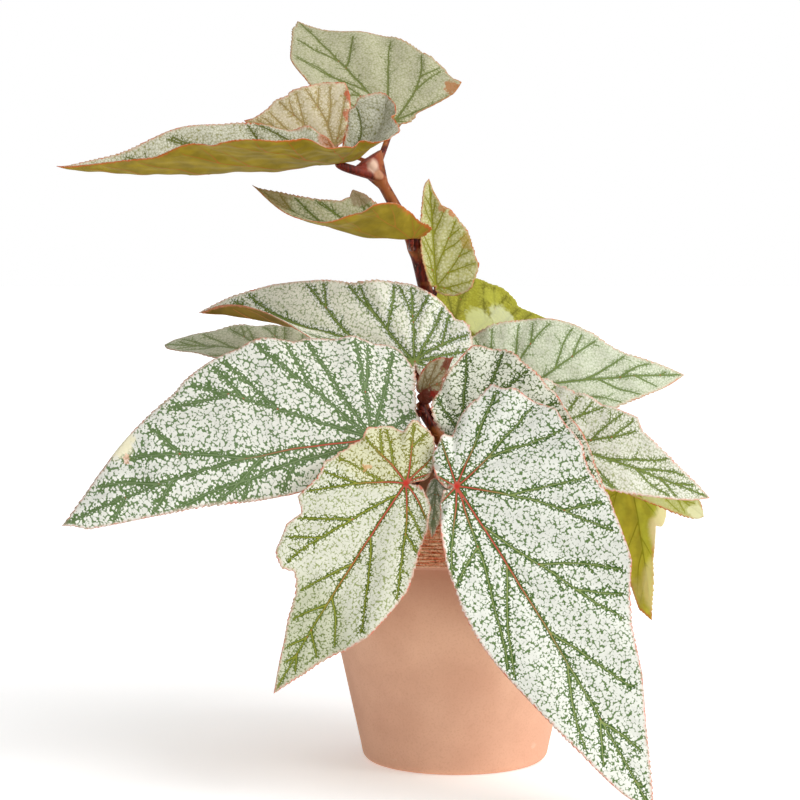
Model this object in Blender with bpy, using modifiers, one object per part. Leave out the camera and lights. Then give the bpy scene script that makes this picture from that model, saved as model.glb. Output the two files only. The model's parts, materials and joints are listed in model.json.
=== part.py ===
"""A potted begonia: eighteen lopsided leaves on three jointed canes, in a terracotta pot full of soil.

The frame has its origin on the pot's axis, on the surface that the pot stands on, with +Z up and the
plant's best side towards -Y. Sizes below are in millimetres and are turned to metres as meshes are made.
"""

import math
from collections import namedtuple

import bmesh
import bpy
import numpy as np
from mathutils import Matrix, Vector
from mathutils.geometry import delaunay_2d_cdt

MM = 0.001

# Pot: a flared body with a wide ridged rim band
POT_HEIGHT = 118
POT_BASE_RADIUS = 38.4
POT_FLARE = 0.22
POT_FLOOR = 8
POT_BASE_ROUND = 4
RIM_FOOT = 89
RIM_RADIUS = 61.5
RIM_ROUND = 2.2
RIM_RIDGES = 6
RIDGE_DEPTH = 0.7
RIM_FOOT_TUCK = 1.2
GROOVE_DEPTH = 0.6
GROOVE_HEIGHT = 5
POT_INNER_WALL = ((34.5, POT_FLOOR), (52.3, 88), (56.0, 96), (56.2, 115))
POT_STEPS = 48
DRAIN_RADIUS = 3.5
DRAIN_CIRCLE = 15
DRAIN_COUNT = 3

# Soil: fills the pot to just under the rim
SOIL_GAP = 0.3
SOIL_EDGE_HEIGHT = 105.5
SOIL_MIDDLE_HEIGHT = 107.5
SOIL_STEPS = 40
HOLE_GAP = 0.45
HOLE_DEPTH_BELOW_CANE = 0.3

# Blades: one thin sheet each, and the gap that is left between a blade and its stalk's end
BLADE_THICKNESS = 0.8
SEAT_GAP = 0.75
MARGIN_POINTS = 64
GRID_STEPS = 8

# Outline of a blade: distance from the stalk's seat by the angle from the midrib, as a share of the
# midrib's length. The broad half runs round behind the seat as a lobe, and the narrow half stops short.
BROAD_HALF = ((0, 1.0), (4, 0.89), (8, 0.80), (15, 0.69), (23, 0.62), (32, 0.555), (43, 0.495), (55, 0.44),
              (68, 0.39), (80, 0.36), (105, 0.335), (125, 0.30), (138, 0.255), (152, 0.21), (175, 0.175),
              (200, 0.135), (225, 0.08), (242, 0.02))
NARROW_HALF = ((0, 1.0), (4, 0.89), (8, 0.775), (14, 0.65), (20, 0.56), (28, 0.45), (36, 0.345), (45, 0.25),
               (58, 0.175), (75, 0.125), (95, 0.07), (118, 0.02))
BROAD_END = BROAD_HALF[-1][0]
NARROW_END = -NARROW_HALF[-1][0]

# Colours: dark speckled tops, a backlit yellow green, olive undersides, cream and young leaves
SPECKLED = (0.07, 0.13, 0.05)
BACKLIT = (0.33, 0.38, 0.10)
OLIVE = (0.22, 0.20, 0.06)
CREAM = (0.62, 0.52, 0.34)
YOUNG = (0.42, 0.30, 0.22)
CANE_BROWN = (0.23, 0.09, 0.06)
TERRACOTTA = (0.62, 0.30, 0.19)
SOIL_BROWN = (0.05, 0.035, 0.025)

# A stalk leaves its cane at a height, along lead, and comes to the blade from below over approach
Stalk = namedtuple("Stalk", "cane height lead approach radius")

# A stipule is a dry bract on a cane: height on it, heading round it and length
Stipule = namedtuple("Stipule", "height heading length")

# Canes: centre points with the radius there, from inside the soil up to the last leaves
CANES = {
    "cane_main": ((2, 16, 101, 3.4), (2, 16, 110, 3.4), (0, 19, 140, 3.3), (-6, 24, 168, 3.2),
                  (-12.5, 25, 198, 3.1), (-18.5, 20, 219, 2.8), (-31, 13, 243, 2.3), (-36.5, 9, 252, 1.6)),
    "cane_right": ((12, -12, 101, 3.0), (12, -12, 108, 3.0), (11, -14, 120, 2.8), (8, -17, 136, 2.2)),
    "cane_left": ((-6, -10, 101, 3.0), (-6, -10, 108, 3.0), (-5, -12, 119, 2.8), (-5, -15, 132, 2.5),
                  (-8.5, -16, 140, 2.2), (-13, -15.5, 147, 2.0), (-15, -13, 152, 1.6)),
}
STIPULES = {
    "cane_main": (Stipule(148, 200, 8), Stipule(192, 160, 7), Stipule(215, 20, 7)),
    "cane_right": (Stipule(122, 300, 6),),
    "cane_left": (Stipule(122, 220, 7), Stipule(130, 200, 6), Stipule(134, 20, 6), Stipule(139, 195, 7),
                  Stipule(144, 30, 6), Stipule(147, 205, 6)),
}
NODE_SWELLING = 0.16
NODE_LENGTH = 2.4
BRACT_FOOT = 1.6
BRACT_TIP = 0.5
BRACT_FLATNESS = 0.7
BRACT_LEAN = 33
SHEATH = dict(cane="cane_main", height=241, ahead=(-7, -3, 12), foot=2.4, mouth=7.4, depth=0.42)

# Leaves: the stalk's seat and the tip, the way that the upper side faces, and how the blade is formed.
# hand is 1 where the broad half lies left of the midrib, seen from above with the tip ahead. fold lifts
# the broad and the narrow half, in degrees, at the seat, and fold_end at the tip. form scales the outline
# where this leaf differs from the common one, as pairs of angle from the tip and factor.
LEAVES = {
    "leaf_front_right": dict(
        base=(-1, -80, 125), tip=(74, -120, 3.2), faces=(0.1, -1, 0.35), hand=1, arch=0.05, fold=(6, 6),
        broad=0.95, narrow=0.82, lobe=1.07, wrap=0.8, scallop=-0.03, seed=1, colour=SPECKLED,
        form=(
            (-80, 0.6), (-60, 0.66), (-40, 0.88), (-24, 0.98), (0, 1), (9, 0.98), (20, 0.95), (45, 0.96),
            (58, 0.94), (84, 1), (124, 1), (131, 1.11), (136, 1.02), (146, 0.98), (153, 0.82), (165, 0.9),
            (180, 0.86), (200, 0.7)),
        stalk=Stalk("cane_right", 123, (-6, -22, 4), 22, 1.5)),
    "leaf_front_centre": dict(
        base=(-21, -74, 125.5), tip=(-72.5, -98, 46), faces=(-0.1, -1, 0.35), hand=-1, arch=0.05,
        fold=(6, 6), broad=0.95, narrow=1.2, lobe=0.92, wrap=1.1, scallop=-0.05, seed=2, colour=BACKLIT,
        form=(
            (-30, 1), (-20, 1.06), (-12, 1), (0, 1), (5, 0.94), (12, 0.89), (18, 0.92), (22, 1.02),
            (27, 1.05), (38, 1.05), (41, 0.93), (50, 0.98), (62, 0.93), (84, 0.93), (88, 0.87),
            (104, 0.87), (110, 0.93), (127, 1.06), (145, 1.1), (152, 1.4), (166, 1.5), (182, 1.35),
            (205, 1.15), (240, 1)),
        stalk=Stalk("cane_left", 122, (-4, -20, 12), 20, 1.3)),
    "leaf_left_large": dict(
        base=(-34, -48, 140), tip=(-158, -66, 107.5), faces=(0, -0.75, 0.65), hand=-1, arch=0.08,
        fold=(4, -22), fold_end=(4, -60), narrow=0.7, lobe=0.95, width=1.2, sweep=0.008, seed=3,
        colour=SPECKLED,
        form=(
            (-60, 0.75), (-20, 0.73), (-10, 0.84), (-6, 0.93), (-3, 1.02), (0, 1), (6, 1.02), (28, 1.02),
            (34, 1), (42, 0.99), (60, 0.94), (100, 0.97), (110, 1.08), (122, 1.2), (132, 1.2),
            (140, 0.98), (240, 1)),
        stalk=Stalk("cane_left", 130, (-10, -10, 2), 14, 1.4)),
    "leaf_rear_left": dict(
        base=(-17, 2, 168), tip=(-109.5, 28, 187), faces=(0, -0.9, 0.45), hand=-1, arch=0.03,
        fold=(4, 10), fold_end=(4, 122), broad=0.86, narrow=0.8, lobe=0.85, wrap=1.45, width=1.08,
        sweep=0.03, seed=4, colour=SPECKLED,
        form=(
            (0, 1), (6, 1.05), (13, 1.06), (20, 1.01), (32, 0.91), (50, 0.92), (62, 0.96), (90, 1),
            (115, 1.05), (128, 1.37), (142, 1.36), (155, 1.2), (175, 1)),
        stalk=Stalk("cane_left", 138, (-6, 2, 14), 8, 1.3)),
    "leaf_far_left": dict(
        base=(-71, 40, 166), tip=(-127, 60, 171), faces=(0, -0.45, 0.9), hand=-1, arch=0.04, fold=(6, 6),
        seed=5, colour=SPECKLED,
        form=((-30, 1), (-9, 1.1), (-4, 1.07), (0, 1), (4, 1.07), (9, 1.08), (30, 1)),
        stalk=Stalk("cane_main", 120, (-20, 8, 20), 8, 1.0)),
    "leaf_inner_right": dict(
        base=(2.5, -56, 141.5), tip=(67, -72, 84), faces=(0.1, -1, 0.35), hand=1, arch=0.04, fold=(6, 6),
        broad=1.12, lobe=1.15, wrap=1.1, seed=6, colour=SPECKLED,
        form=(
            (0, 1), (20, 1), (40, 0.97), (60, 1), (70, 1.09), (90, 1.1), (110, 1.16), (126, 1.2),
            (138, 1.1), (150, 1.02), (165, 0.93), (180, 0.88), (205, 0.6), (240, 0.5)),
        stalk=Stalk("cane_right", 134, (-2, -12, 8), 12, 1.2)),
    "leaf_right_upper": dict(
        base=(19, 16, 154), tip=(99, 31, 160), faces=(0, -0.85, 0.5), hand=1, arch=0.05, fold=(4, 6),
        lobe=0.92, wrap=0.8, width=1.12, seed=7, colour=SPECKLED,
        form=((0, 1), (5, 0.97), (10, 0.93), (24, 0.97), (40, 0.95), (60, 0.95), (80, 0.98), (100, 1)),
        stalk=Stalk("cane_main", 136, (10, 4, 6), 8, 1.2)),
    "leaf_right_lower": dict(
        base=(33.5, -16, 138), tip=(105, -20, 113), faces=(0.1, -0.9, 0.4), hand=1, arch=0.05,
        fold=(4, 6), broad=0.8, narrow=0.8, lobe=1.35, width=1.08, seed=8, colour=SPECKLED,
        form=((0, 1), (20, 1.01), (28, 1.13), (34, 1.08), (44, 1)),
        stalk=Stalk("cane_right", 128, (10, 2, 8), 8, 1.3)),
    "leaf_right_hanging": dict(
        base=(73.5, 42, 131), tip=(88.5, 60, 48.5), faces=(0.3, 1, 0.3), hand=1, fold=(6, 20),
        narrow=0.25, seed=9, colour=BACKLIT,
        form=(
            (-60, 1), (-30, 1.45), (-22, 1.5), (-13, 1.05), (-10, 0.85), (-4, 0.8), (-1, 0.95), (0, 1),
            (4, 1.06), (8, 0.96), (15, 1)),
        stalk=Stalk("cane_main", 118, (16, 8, 20), 12, 1.1)),
    "leaf_right_under": dict(
        base=(50.5, 24, 138), tip=(107.5, 27, 99), faces=(0.1, -0.9, 0.4), hand=1, arch=0.05, fold=(4, 6),
        broad=0.72, narrow=0.8, seed=10, colour=BACKLIT,
        form=((-30, 1), (-8, 1.1), (-3, 1.05), (0, 1), (4, 1.06), (9, 1.06), (20, 1)),
        stalk=Stalk("cane_main", 126, (18, 4, 10), 8, 1.1)),
    "leaf_rear_right": dict(
        base=(-0.5, 48, 172), tip=(45.5, 98, 179), faces=(0, -0.8, 0.5), hand=1, fold=(6, 10), broad=1.1,
        seed=11, colour=BACKLIT,
        form=((0, 1), (11, 1), (14, 1.07), (34, 1.14), (42, 1.14), (55, 1)),
        stalk=Stalk("cane_main", 148, (2, 13, 8), 11, 1.0)),
    "leaf_stem_upright": dict(
        base=(-8, 14, 199), tip=(-11, 20, 244.5), faces=(0, -1, 0), hand=-1, arch=0.02, fold=(15, 30),
        broad=1.1, narrow=0.5, lobe=0.75, wrap=0.6, seed=12, colour=BACKLIT,
        form=(
            (-4, 1.05), (0, 1), (2, 0.95), (8, 0.92), (15, 1), (58, 0.98), (67, 1.08), (80, 1.03), (95, 1),
            (112, 0.8), (130, 0.6), (240, 0.6)),
        stalk=Stalk("cane_main", 192, (3, -3, 1), 3, 1.2)),
    "leaf_stem_left": dict(
        base=(-18.5, 0, 220), tip=(-84.5, -8, 242), faces=(0, 0, 1), hand=1, arch=-0.09, fold=(48, 75),
        fold_end=(-30, 70), fold_behind=1, lobe=0.75, wrap=0.7, seed=13, colour=OLIVE,
        form=(
            (-60, 1), (-46, 1.1), (-41, 1.4), (-36, 1.42), (-31, 1.15), (-24, 1), (0, 1), (40, 1.05),
            (58, 1.35), (70, 1.05), (80, 0.7), (100, 0.6), (125, 0.6), (138, 0.85), (146, 0.9),
            (156, 0.6), (240, 0.5)),
        stalk=Stalk("cane_main", 215, (-3, -8, 0), 5, 1.3)),
    "leaf_top_left": dict(
        base=(-49, 2, 251.5), tip=(-165.5, -8, 250), faces=(0, 0, 1), hand=1, arch=-0.03, fold=(13, 78),
        fold_end=(26, 50), fold_behind=1, lobe=1.05, wrap=1.9, roll=85, seed=14, colour=OLIVE,
        form=(
            (0, 1), (30, 1), (42, 1.15), (56, 1.15), (66, 0.95), (78, 0.9), (90, 0.82), (98, 0.76),
            (110, 0.66), (118, 0.76), (126, 0.98), (135, 1.03), (146, 0.93), (155, 0.84), (168, 0.8), (178, 0.9),
            (186, 1.02), (200, 1.12), (215, 1.25), (240, 1.3)),
        stalk=Stalk("cane_main", 245, (-5, -4, 2), 2, 2.2)),
    "leaf_top_back": dict(
        base=(-26.5, 30, 268.5), tip=(-68.5, 76, 313), faces=(0, -0.64, 0.77), hand=-1, arch=0.03,
        fold=(6, 10), broad=1.32, narrow=1.4, lobe=0.55, wrap=0.8, seed=15, colour=SPECKLED,
        form=(
            (-30, 1), (-20, 1.05), (-12, 1.08), (-4, 1.06), (0, 1), (5, 0.95), (25, 0.93), (50, 0.9),
            (62, 0.93), (80, 1.06), (86, 1.18), (92, 1.05), (100, 0.45), (130, 0.35), (240, 0.4)),
        stalk=Stalk("cane_main", 247, (1, 3, 5), 7, 1.5)),
    "leaf_top_cream": dict(
        base=(-51.5, 19, 258.5), tip=(-90, 33, 269), faces=(0.25, -0.95, 0.25), hand=-1, arch=0.03,
        fold=(6, 10), broad=1.5, narrow=0.8, lobe=0.4, wrap=0.6, seed=16, colour=CREAM,
        form=(
            (0, 1), (20, 0.98), (30, 0.9), (42, 0.95), (60, 1.08), (70, 1.16), (80, 1.35), (88, 1.25),
            (98, 0.95), (110, 0.75), (240, 0.7)),
        stalk=Stalk("cane_main", 251, (-2, 5, 1), 3, 1.0)),
    "leaf_centre_young": dict(
        base=(-14.5, -16, 156), tip=(-1, -9, 171), faces=(0.3, -1, 0.2), hand=-1, fold=(15, 25),
        broad=1.5, narrow=2.0, seed=17, colour=YOUNG,
        form=((-100, 1), (-47, 1), (-29, 0.8), (0, 1), (15, 0.62), (37, 0.5), (240, 0.45)),
        stalk=Stalk("cane_left", 151, (0, 1, 2), 2, 0.8)),
    "leaf_rim_shaded": dict(
        base=(-9, -70, 127), tip=(-10.5, -70, 103), faces=(0, -1, 0), hand=1, arch=0.03, fold=(6, 10),
        broad=0.8, width=0.85, seed=18, colour=SPECKLED,
        stalk=Stalk("cane_left", 115, (-1, -22, 6), 14, 0.9)),
}


def smooth_curve(points, x):
    """Read a curve that runs smoothly through the points and never overshoots between them."""
    xs, ys = np.array(points, float).T
    x = np.clip(x, xs[0], xs[-1])
    step = np.diff(xs)
    slope = np.diff(ys) / step
    before, after = slope[:-1], slope[1:]
    total = np.where(before + after == 0, 1, before + after)
    middle = np.where(before * after > 0, 2 * before * after / total, 0)
    tangent = np.concatenate([[slope[0]], middle, [slope[-1]]])
    i = np.clip(np.searchsorted(xs, x, side="right") - 1, 0, len(step) - 1)
    t = (x - xs[i]) / step[i]
    start = (1 + 2 * t) * (1 - t) ** 2 * ys[i] + t * (1 - t) ** 2 * step[i] * tangent[i]
    end = t * t * (3 - 2 * t) * ys[i + 1] + t * t * (t - 1) * step[i] * tangent[i + 1]
    return start + end


def through(points, parts):
    """A Catmull-Rom line through the points, with the same number of parts between each two."""
    points = np.array(points, float)
    ends = np.vstack([2 * points[0] - points[1], points, 2 * points[-1] - points[-2]])
    line = []
    for a, b, c, d in zip(ends, ends[1:], ends[2:], ends[3:]):
        for t in np.linspace(0, 1, parts, endpoint=False):
            bend = (2 * a - 5 * b + 4 * c - d) * t ** 2 + (3 * b - a - 3 * c + d) * t ** 3
            line.append(0.5 * (2 * b + (c - a) * t + bend))
    line.append(points[-1])
    return np.array(line)


class Blade:
    """A lopsided leaf blade: a flat outline that a formula folds, arches and waves into space."""

    def __init__(self, base, tip, faces, hand, arch=0.06, fold=(8, 8), fold_end=None, fold_behind=0.3,
                 broad=1.0, narrow=1.0, lobe=1.0, wrap=1.0, width=1.0, sweep=0.0, roll=0.0,
                 wave=0.012, scallop=0.02, form=((0, 1),), seed=0):
        self.base = np.array(base, float)
        chord = np.array(tip, float) - self.base
        self.length = np.linalg.norm(chord)
        self.ahead = chord / self.length
        upper = np.array(faces, float)
        upper = upper - self.ahead * (upper @ self.ahead)
        self.upper = upper / np.linalg.norm(upper)
        self.aside = np.cross(self.upper, self.ahead) * hand
        self.hand = hand
        self.arch = arch
        self.fold = fold
        self.fold_end = fold_end or fold
        self.fold_behind = fold_behind
        self.broad = broad
        self.narrow = narrow
        self.lobe = lobe
        self.wrap = wrap
        self.width = width
        self.sweep = sweep
        self.roll = math.radians(roll)
        self.wave = wave
        self.scallop = scallop
        self.form = form
        self.seed = seed

    def radius(self, angle):
        """Distance from the seat to the margin, by the angle from the midrib in degrees."""
        turn = np.abs(angle)
        ease = np.clip((turn - 3) / 30, 0, 1)
        beside = np.clip((turn - 70) / 60, 0, 1)
        behind = np.clip((turn - 130) / 40, 0, 1)
        broad = smooth_curve(BROAD_HALF, turn) * (1 + (self.broad - 1) * ease)
        broad = broad * (1 + (self.lobe - 1) * beside) * (1 + (self.wrap - 1) * behind)
        narrow = smooth_curve(NARROW_HALF, turn) * (1 + (self.narrow - 1) * ease)
        teeth = np.abs(np.sin(np.radians(angle * 8.5 + 30 + self.seed * 40))) - 0.6
        fade = np.clip(turn / 15, 0, 1) * np.clip((BROAD_END - turn) / 60, 0, 1)
        share = np.where(angle >= 0, broad, narrow) * (1 + self.scallop * fade * teeth)
        return share * np.interp(angle, *zip(*self.form)) * self.length

    def angle(self, u, v):
        """The angle from the midrib of a flat point, in degrees, counted so that the notch is its end."""
        turn = np.degrees(np.arctan2(v, u))
        return np.where(turn < NARROW_END, turn + 360, turn)

    def margin(self, count):
        """The outline as evenly spaced flat points, with one of them on the tip."""
        angles = np.concatenate([np.linspace(NARROW_END, 0, 400), np.linspace(0, BROAD_END, 800)[1:]])
        radii = self.radius(angles)
        points = np.stack([radii * np.cos(np.radians(angles)), radii * np.sin(np.radians(angles))], 1)
        steps = np.linalg.norm(np.diff(points, axis=0), axis=1)
        run = np.concatenate([[0], np.cumsum(steps)])
        to_tip = run[399]
        before = max(6, round(count * to_tip / run[-1]))
        spots = np.concatenate([np.linspace(0, to_tip, before, endpoint=False),
                                np.linspace(to_tip, run[-1], count - before, endpoint=False)])
        turned = np.interp(spots, run, angles)
        radii = self.radius(turned)
        return np.stack([radii * np.cos(np.radians(turned)), radii * np.sin(np.radians(turned))], 1)

    def inside(self, margin, spacing):
        """Flat points in rows of equal triangles, one row on the midrib, kept clear of the margin."""
        reach = int(self.length / spacing) + 3
        rows = [(i * spacing, 0.0) for i in range(int(0.96 * self.length / spacing) + 1)]
        for j in range(-reach, reach + 1):
            if j == 0:
                continue
            for i in range(-reach, reach + 1):
                rows.append(((i + 0.5 * (j % 2)) * spacing, j * spacing * math.sqrt(0.75)))
        rows = np.array(rows)
        radii = np.hypot(rows[:, 0], rows[:, 1])
        gaps = np.linalg.norm(rows[:, None] - margin[None], axis=2).min(axis=1)
        within = radii < self.radius(self.angle(rows[:, 0], rows[:, 1]))
        return rows[(within & (gaps > 0.45 * spacing)) | (radii == 0)]

    def bend(self, u, v):
        """Carry flat points to space: u runs along the midrib and v towards the broad half."""
        along = u / self.length
        near = np.clip(along, -0.25, 1.05)
        rise = 4 * self.arch * (near * (1 - near) + (along - near) * (1 - 2 * near)) * self.length
        slope = 4 * self.arch * (1 - 2 * near)
        level = 1 / np.sqrt(1 + slope ** 2)

        first = np.where(v >= 0, self.fold[0], self.fold[1])
        last = np.where(v >= 0, self.fold_end[0], self.fold_end[1])
        fold = np.radians(first + (last - first) * np.clip(along, 0, 1))
        fold = fold * np.clip(1 + 4 * np.minimum(along, 0), self.fold_behind, 1)
        out = np.abs(v) * self.width
        soft = 0.02 * self.length
        y = np.sign(v) * out * np.cos(fold) + self.sweep * 4 * near * (1 - near) * self.length
        z = np.sin(fold) * (np.sqrt(out ** 2 + soft ** 2) - soft) + self.ripple(u, v, along)
        if self.roll:
            u, z = self.rolled(u, v, z)
        return (self.base + np.multiply.outer(u - z * slope * level, self.ahead)
                + np.multiply.outer(y, self.aside) + np.multiply.outer(rise + z * level, self.upper))

    def ripple(self, u, v, along):
        """Waves that grow towards the margin and die out at the tip."""
        angle = self.angle(u, v)
        out = np.clip(np.hypot(u, v) / self.radius(angle), 0, 1.1)
        start = self.seed * 2.1
        waves = np.sin(np.radians(angle) * 8.4 + start) + 0.5 * np.sin(np.radians(angle) * 17 + 1.7 * start)
        return self.wave * self.length * out ** 3 * waves * np.clip((1.02 - along) * 3, 0, 1)

    def rolled(self, u, v, z):
        """Roll up what lies behind the seat, most on the side away from the broad half."""
        span = 0.3 * self.length
        turn = self.roll / span * np.clip(1 - v / span, 0.001, 1)
        back = np.clip(-u, 0, None)
        sine, cosine = np.sin(turn * back), np.cos(turn * back)
        behind = u < 0
        return (np.where(behind, z * sine - sine / turn, u),
                np.where(behind, (1 - cosine) / turn + z * cosine, z))

    def under(self):
        """The way straight down from the blade's seat."""
        step = 0.01 * self.length
        ahead, back, left, right = self.bend(np.array([step, -step, 0, 0]), np.array([0, 0, step, -step]))
        down = np.cross(left - right, ahead - back) * self.hand
        return down / np.linalg.norm(down)


def material(name, colour, roughness):
    made = bpy.data.materials.new(name)
    made.use_nodes = True
    shader = made.node_tree.nodes["Principled BSDF"]
    shader.inputs["Base Color"].default_value = (*colour, 1.0)
    shader.inputs["Roughness"].default_value = roughness
    shader.inputs["Metallic"].default_value = 0.0
    return made


def new_object(name, data, collection):
    made = bpy.data.objects.new(name, data)
    collection.objects.link(made)
    return made


def collection_named(name):
    made = bpy.data.collections.new(name)
    bpy.context.scene.collection.children.link(made)
    return made


def turned_object(name, profile, steps, collection):
    """Turn a profile, given as radius and height, about the Z axis."""
    mesh = bpy.data.meshes.new(name)
    points = [(r * MM, 0, z * MM) for r, z in profile]
    mesh.from_pydata(points, [(i, i + 1) for i in range(len(points) - 1)], [])
    made = new_object(name, mesh, collection)
    turn = made.modifiers.new("turn", "SCREW")
    turn.steps = steps
    turn.render_steps = steps
    turn.use_merge_vertices = True
    turn.merge_threshold = 0.00001
    return made


def arc(centre, radius, start, end, parts):
    """Points of a round edge, by angles in degrees from the radial direction."""
    angles = np.radians(np.linspace(start, end, parts + 1))
    return [(centre[0] + radius * math.cos(a), centre[1] + radius * math.sin(a)) for a in angles]


def drill(target, name, centre, radius, low, high, cutters):
    """Cut a plain upright hole through the target."""
    mesh = bpy.data.meshes.new(name)
    shape = bmesh.new()
    bmesh.ops.create_cone(shape, cap_ends=True, segments=20, radius1=radius * MM, radius2=radius * MM,
                          depth=(high - low) * MM)
    shape.to_mesh(mesh)
    shape.free()
    cutter = new_object(name, mesh, cutters)
    cutter.location = (centre[0] * MM, centre[1] * MM, (low + high) / 2 * MM)
    cutter.hide_render = True
    cutter.display_type = "WIRE"
    cut = target.modifiers.new(name, "BOOLEAN")
    cut.operation = "DIFFERENCE"
    cut.object = cutter
    cut.solver = "EXACT"


def pot_outside(height):
    return POT_BASE_RADIUS + POT_FLARE * height


def rim_band():
    """The band's outer side from the top down: rounded ridges with grooves between them."""
    top = POT_HEIGHT - RIM_ROUND
    pitch = (top - RIM_FOOT - RIM_FOOT_TUCK) / RIM_RIDGES
    points = []
    for ridge in range(RIM_RIDGES):
        start = top - ridge * pitch
        for share, depth in ((0.25, 0.0), (0.75, 0.0), (1.0, 1.0)):
            points.append((RIM_RADIUS - RIDGE_DEPTH * depth, start - share * pitch))
    return points[:-1]


def make_pot(parts, cutters):
    top_edge = (arc((POT_INNER_WALL[-1][0] + RIM_ROUND, POT_HEIGHT - RIM_ROUND), RIM_ROUND, 180, 90, 2)
                + arc((RIM_RADIUS - RIM_ROUND, POT_HEIGHT - RIM_ROUND), RIM_ROUND, 90, 0, 2))
    below = RIM_FOOT - GROOVE_HEIGHT
    neck = [(RIM_RADIUS - RIM_FOOT_TUCK, RIM_FOOT), (pot_outside(RIM_FOOT) - GROOVE_DEPTH, RIM_FOOT),
            (pot_outside(below), below)]
    base_edge = arc((POT_BASE_RADIUS + POT_FLARE * POT_BASE_ROUND - POT_BASE_ROUND, POT_BASE_ROUND),
                    POT_BASE_ROUND, -12, -90, 3)
    profile = [(0, POT_FLOOR), *POT_INNER_WALL[:-1], *top_edge, *rim_band(), *neck, *base_edge, (0, 0)]
    pot = turned_object("pot", profile, POT_STEPS, parts)
    for i in range(DRAIN_COUNT):
        angle = 2 * math.pi * i / DRAIN_COUNT
        centre = (DRAIN_CIRCLE * math.cos(angle), DRAIN_CIRCLE * math.sin(angle))
        drill(pot, f"drain_{i}", centre, DRAIN_RADIUS, -2, POT_FLOOR + 2, cutters)
    pot.data.materials.append(material("terracotta", TERRACOTTA, 0.85))


def make_soil(parts, cutters):
    """Soil that keeps a small gap to the wall, with a plain hole for each cane."""
    wall = [(r - SOIL_GAP, z) for r, z in POT_INNER_WALL]
    low = POT_FLOOR + SOIL_GAP
    profile = [(0, SOIL_MIDDLE_HEIGHT), (20, SOIL_MIDDLE_HEIGHT - 0.3), (42, SOIL_MIDDLE_HEIGHT - 1),
               (wall[2][0], SOIL_EDGE_HEIGHT), wall[2], wall[1], (wall[0][0], low), (0, low)]
    soil = turned_object("soil", profile, SOIL_STEPS, parts)
    for name, points in CANES.items():
        x, y, z, radius = points[0]
        drill(soil, "hole_" + name, (x, y), radius + HOLE_GAP, z - HOLE_DEPTH_BELOW_CANE,
              SOIL_MIDDLE_HEIGHT + 5, cutters)
    soil.data.materials.append(material("soil", SOIL_BROWN, 0.95))


def tube_mesh(name, points, radii, sides_level):
    """A closed tube along the points, made as a bevelled curve and turned to a welded mesh."""
    data = bpy.data.curves.new(name, "CURVE")
    data.dimensions = "3D"
    data.bevel_depth = MM
    data.bevel_resolution = sides_level
    data.use_fill_caps = True
    line = data.splines.new("POLY")
    line.points.add(len(points) - 1)
    for spot, place, radius in zip(line.points, points, radii):
        spot.co = (*(place * MM), 1)
        spot.radius = radius
    holder = bpy.data.objects.new(name, data)
    bpy.context.scene.collection.objects.link(holder)
    bpy.context.view_layer.update()
    mesh = bpy.data.meshes.new_from_object(holder.evaluated_get(bpy.context.evaluated_depsgraph_get()))
    bpy.data.objects.remove(holder)
    shape = bmesh.new()
    shape.from_mesh(mesh)
    bmesh.ops.remove_doubles(shape, verts=shape.verts, dist=0.00001)
    bmesh.ops.recalc_face_normals(shape, faces=shape.faces)
    shape.to_mesh(mesh)
    shape.free()
    return mesh


def cane_line(name):
    """The cane's centre line with its radius in the last column, swollen where stalks leave it."""
    line = through(CANES[name], 5)
    heights = [leaf["stalk"].height for leaf in LEAVES.values() if leaf["stalk"].cane == name]
    swelling = sum(np.exp(-((line[:, 2] - height) / NODE_LENGTH) ** 2) for height in sorted(set(heights)))
    line[:, 3] *= 1 + NODE_SWELLING * np.clip(swelling, 0, 1)
    return line


def on_cane(name, height):
    """The cane's centre at a height, and the cane's direction there."""
    line = through(CANES[name], 12)
    centre, above = (np.array([np.interp(level, line[:, 2], line[:, k]) for k in range(3)])
                     for level in (height, height + 1))
    ahead = above - centre
    if np.linalg.norm(ahead) < 0.5:
        ahead = line[-1, :3] - line[-3, :3]
    return centre, ahead / np.linalg.norm(ahead)


def stalk_line(blade, stalk):
    """The stalk as a cubic Bezier curve from the cane's middle to just under the blade's seat."""
    start, _ = on_cane(stalk.cane, stalk.height)
    down = blade.under()
    fall = math.radians(max(0, -min(blade.fold)))
    clear = BLADE_THICKNESS / 2 + SEAT_GAP + 0.6 * stalk.radius * math.tan(fall)
    end = blade.base + down * clear
    leave = start + np.array(stalk.lead, float)
    arrive = end + down * stalk.approach
    t = np.linspace(0, 1, 9)[:, None]
    return ((1 - t) ** 3 * start + 3 * (1 - t) ** 2 * t * leave
            + 3 * (1 - t) * t ** 2 * arrive + t ** 3 * end)


def cone_mesh(name, foot, mouth, length, squash, segments):
    mesh = bpy.data.meshes.new(name)
    shape = bmesh.new()
    bmesh.ops.create_cone(shape, cap_ends=True, segments=segments, radius1=foot * MM, radius2=mouth * MM,
                          depth=length * MM, matrix=Matrix.Translation((0, 0, length * MM / 2)))
    bmesh.ops.scale(shape, vec=(*squash, 1), verts=shape.verts)
    shape.to_mesh(mesh)
    shape.free()
    return mesh


def place_along(piece, centre, direction):
    piece.location = Vector(centre) * MM
    piece.rotation_mode = "QUATERNION"
    piece.rotation_quaternion = Vector(direction).to_track_quat("Z", "Y")


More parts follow.
